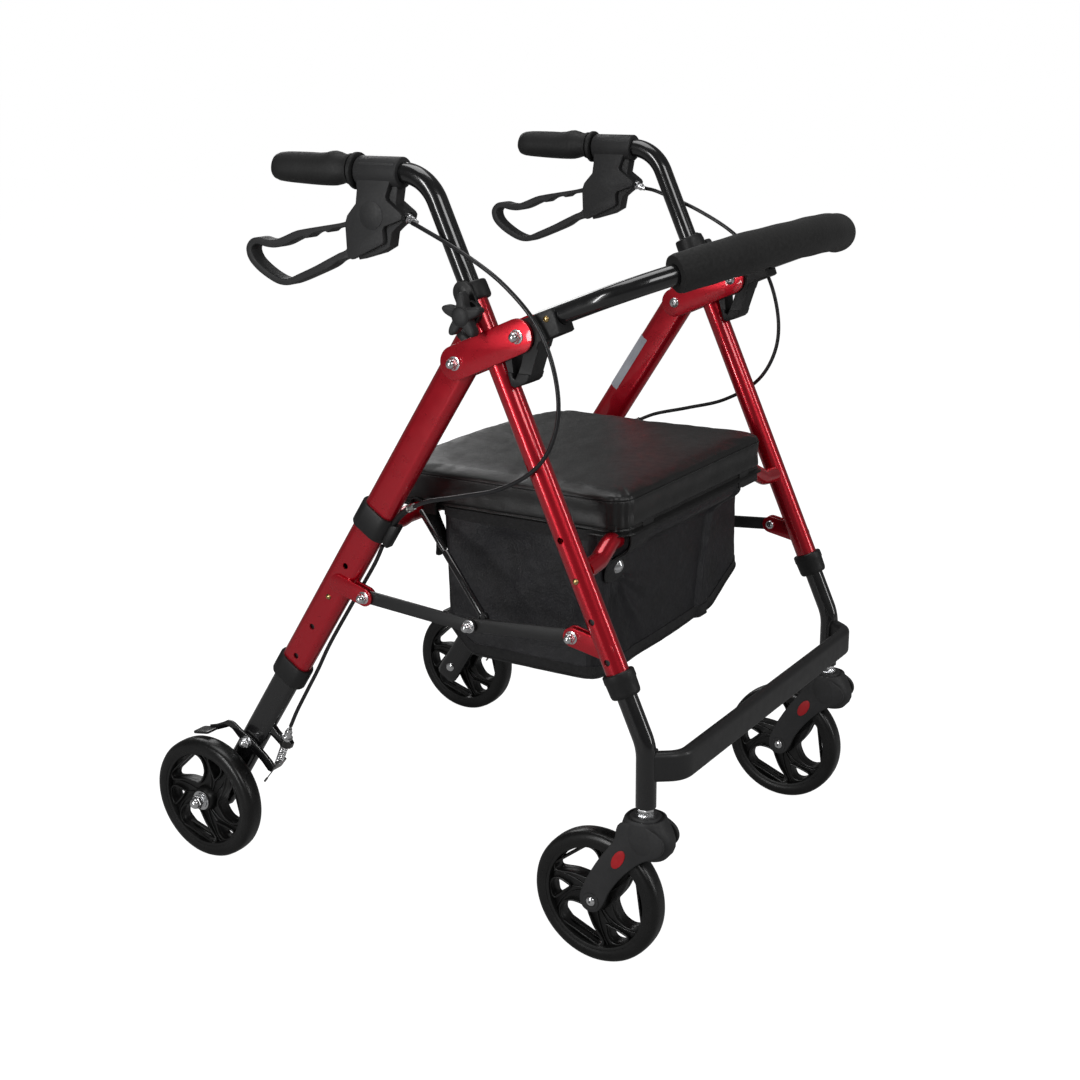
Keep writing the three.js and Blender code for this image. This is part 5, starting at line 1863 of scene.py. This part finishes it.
def sweep_closed_path(loop, radius, sides=8):
    """A round cord along a closed outline, as a mesh."""
    mesh = bpy.data.meshes.new("piping")
    count = len(loop)
    verts, faces = [], []
    for i in range(count):
        along = (loop[(i + 1) % count] - loop[i - 1]).normalized()
        across = along.cross(Z_AXIS).normalized()
        up = across.cross(along)
        for k in range(sides):
            angle = 2 * math.pi * k / sides
            verts.append(
                place(*(loop[i] + across * (radius * math.cos(angle)) + up * (radius * math.sin(angle))))
            )
    for i in range(count):
        j = (i + 1) % count
        for k in range(sides):
            m = (k + 1) % sides
            faces.append((i * sides + k, i * sides + m, j * sides + m, j * sides + k))
    mesh.from_pydata(verts, [], faces)
    mesh.polygons.foreach_set("use_smooth", [True] * len(mesh.polygons))
    return mesh


def strap_shape(path, x_middle, width, thickness=1.8):
    """Flat webbing whose width lies along X, with a rounded far end."""
    widths = [1.0] * (len(path) - 4) + [0.96, 0.82, 0.55, 0.2]
    rows = [rounded_box(width * w, thickness, thickness * 0.45, 3) for w in widths]
    return sweep([Vector((x_middle, y, z)) for y, z in path], rows, X_AXIS)


def basket_straps():
    straps, snaps = [], []
    over_bar = smooth_outline_open([
        (20, 460.4), (13, 459.4), (10.8, 454), (11.4, 446), (17, 437), (28, 429.5), (37.5, 422), (41.4, 412),
        (42.2, 404),
    ])
    tail = [(42.4, 402), (42.6, 399.5), (42.8, 397.5), (43, 396)]
    tab = make("basket_front_tab", strap_shape([*over_bar, *tail], TAB_X, 41), "webbing", "frame")
    inner = smooth_outline_open([
        (14.5, 446), (15, 456), (20, 461.4), (30, 461.6), (37, 458), (40, 450), (43.5, 440), (47.5, 430),
        (49.5, 422),
    ])
    inner_tail = [(49.8, 412), (49.9, 409), (50, 407), (50, 405)]
    far_tab = make("basket_inner_tab", strap_shape([*inner, *inner_tail], -TAB_X, 41), "webbing", "frame")
    straps += [tab, far_tab]
    aim = Vector((-0.64, -0.74, 0.2)).normalized()
    snap_profile = [
        (-1.4, 0), (-1.4, 8.0), (-0.2, 8.6), (0.6, 8.2), (1.0, 7.4), (2.0, 6.8), (3.0, 5.4), (3.6, 3.4),
        (3.9, 0),
    ]
    snaps.append(make("basket_snap", lathe((-138.3, 41.4, 413.4), aim, snap_profile, 40), "chrome", "frame"))
    for side in (LEFT, RIGHT):
        name = SIDE_NAMES[side]
        path = smooth_outline_open([
            (288, 457), (284, 465), (276, 465.5), (267, 459), (259, 440), (251.5, 424), (251, 412),
        ])
        end = [(252, 406), (253, 403.5), (253.6, 402), (254, 401)]
        rear = make(
            f"{name}_basket_rear_strap", strap_shape(
                [*path, *end], BAG_HALF - 11, 22,
            ), "webbing", "rear_frame", side,
        )
        snap = lathe((BAG_HALF - 11, 253, 413), Vector((0.35, 0.94, 0)), [
            (-1, 0), (-1, 5.2), (0.4, 5.6), (1.2, 5), (2.4, 3.6), (2.8, 0),
        ], 28)
        straps.append(rear)
        snaps.append(make(f"{name}_basket_rear_snap", snap, "chrome", "rear_frame", side))
    return straps, snaps


def smooth_outline_open(points, steps=5):
    """A smooth line through (y, z) points."""
    return [(p.y, p.z) for p in smooth_path([(0, y, z) for y, z in points], steps)]


seat_cushion()
basket()
dress_node("seat_board", "board")


# ------------------------------------------------------------------ floor, light and finish
FLOOR_REACH = 30
AMBIENT, FLOOR_GLOW, FLOOR_BOUNCE = 0.1, 0.97, 0.05


def camera_ray_mix(tree, seen, unseen):
    """seen where the camera looks straight at it, unseen for light and reflections."""
    rays = tree.nodes.new("ShaderNodeLightPath")
    spread = tree.nodes.new("ShaderNodeMapRange")
    spread.inputs["To Min"].default_value = unseen
    spread.inputs["To Max"].default_value = seen
    tree.links.new(rays.outputs["Is Camera Ray"], spread.inputs["Value"])
    return spread.outputs["Result"]


def studio():
    reach = FLOOR_REACH
    floor_mesh = bpy.data.meshes.new("floor")
    floor_mesh.from_pydata(
        [(-reach, -reach, 0), (reach, -reach, 0), (reach, reach, 0), (-reach, reach, 0)], [], [(0, 1, 2, 3)],
    )
    floor = add_object("floor", floor_mesh)
    n = Nodes("floor_paper")
    glow = camera_ray_mix(n.tree, FLOOR_GLOW, FLOOR_BOUNCE)
    floor.data.materials.append(n.use(
        Base_Color=(0.3, 0.3, 0.3, 1), Roughness=0.9, Specular_IOR_Level=0.0,
        Emission_Color=(1, 1, 1, 1), Emission_Strength=glow,
    ))

    world = bpy.data.worlds.new("studio")
    world.use_nodes = True
    background = world.node_tree.nodes["Background"]
    background.inputs["Color"].default_value = (1, 1, 1, 1)
    strength = camera_ray_mix(world.node_tree, 1.0, AMBIENT)
    world.node_tree.links.new(strength, background.inputs["Strength"])
    bpy.context.scene.world = world
    bpy.context.scene.view_settings.view_transform = "Standard"

    lights = (
        # name, place, target, width, height, watts
        ("key_softbox", (-1.4, -2.6, 2.3), (0, 0, 0.4), 1.2, 1.2, 22),
        ("strip_left", (-2.7, 0.5, 1.1), (0, 0, 0.5), 0.3, 2.0, 30),
        ("strip_right", (0.9, -2.8, 1.2), (0, 0, 0.5), 0.3, 1.9, 14),
        ("top_softbox", (0.2, 0.3, 2.9), (0, 0, 0), 1.6, 1.6, 20),
        ("back_softbox", (1.8, 2.2, 1.8), (0, 0, 0.4), 1.2, 1.2, 12),
    )
    for name, where, target, width, height, watts in lights:
        data = bpy.data.lights.new(name, "AREA")
        data.shape = "RECTANGLE"
        data.size, data.size_y = width, height
        data.energy = watts
        light = bpy.data.objects.new(name, data)
        bpy.context.scene.collection.objects.link(light)
        light.location = where
        light.rotation_euler = (Vector(target) - Vector(where)).to_track_quat("-Z", "Y").to_euler()


studio()
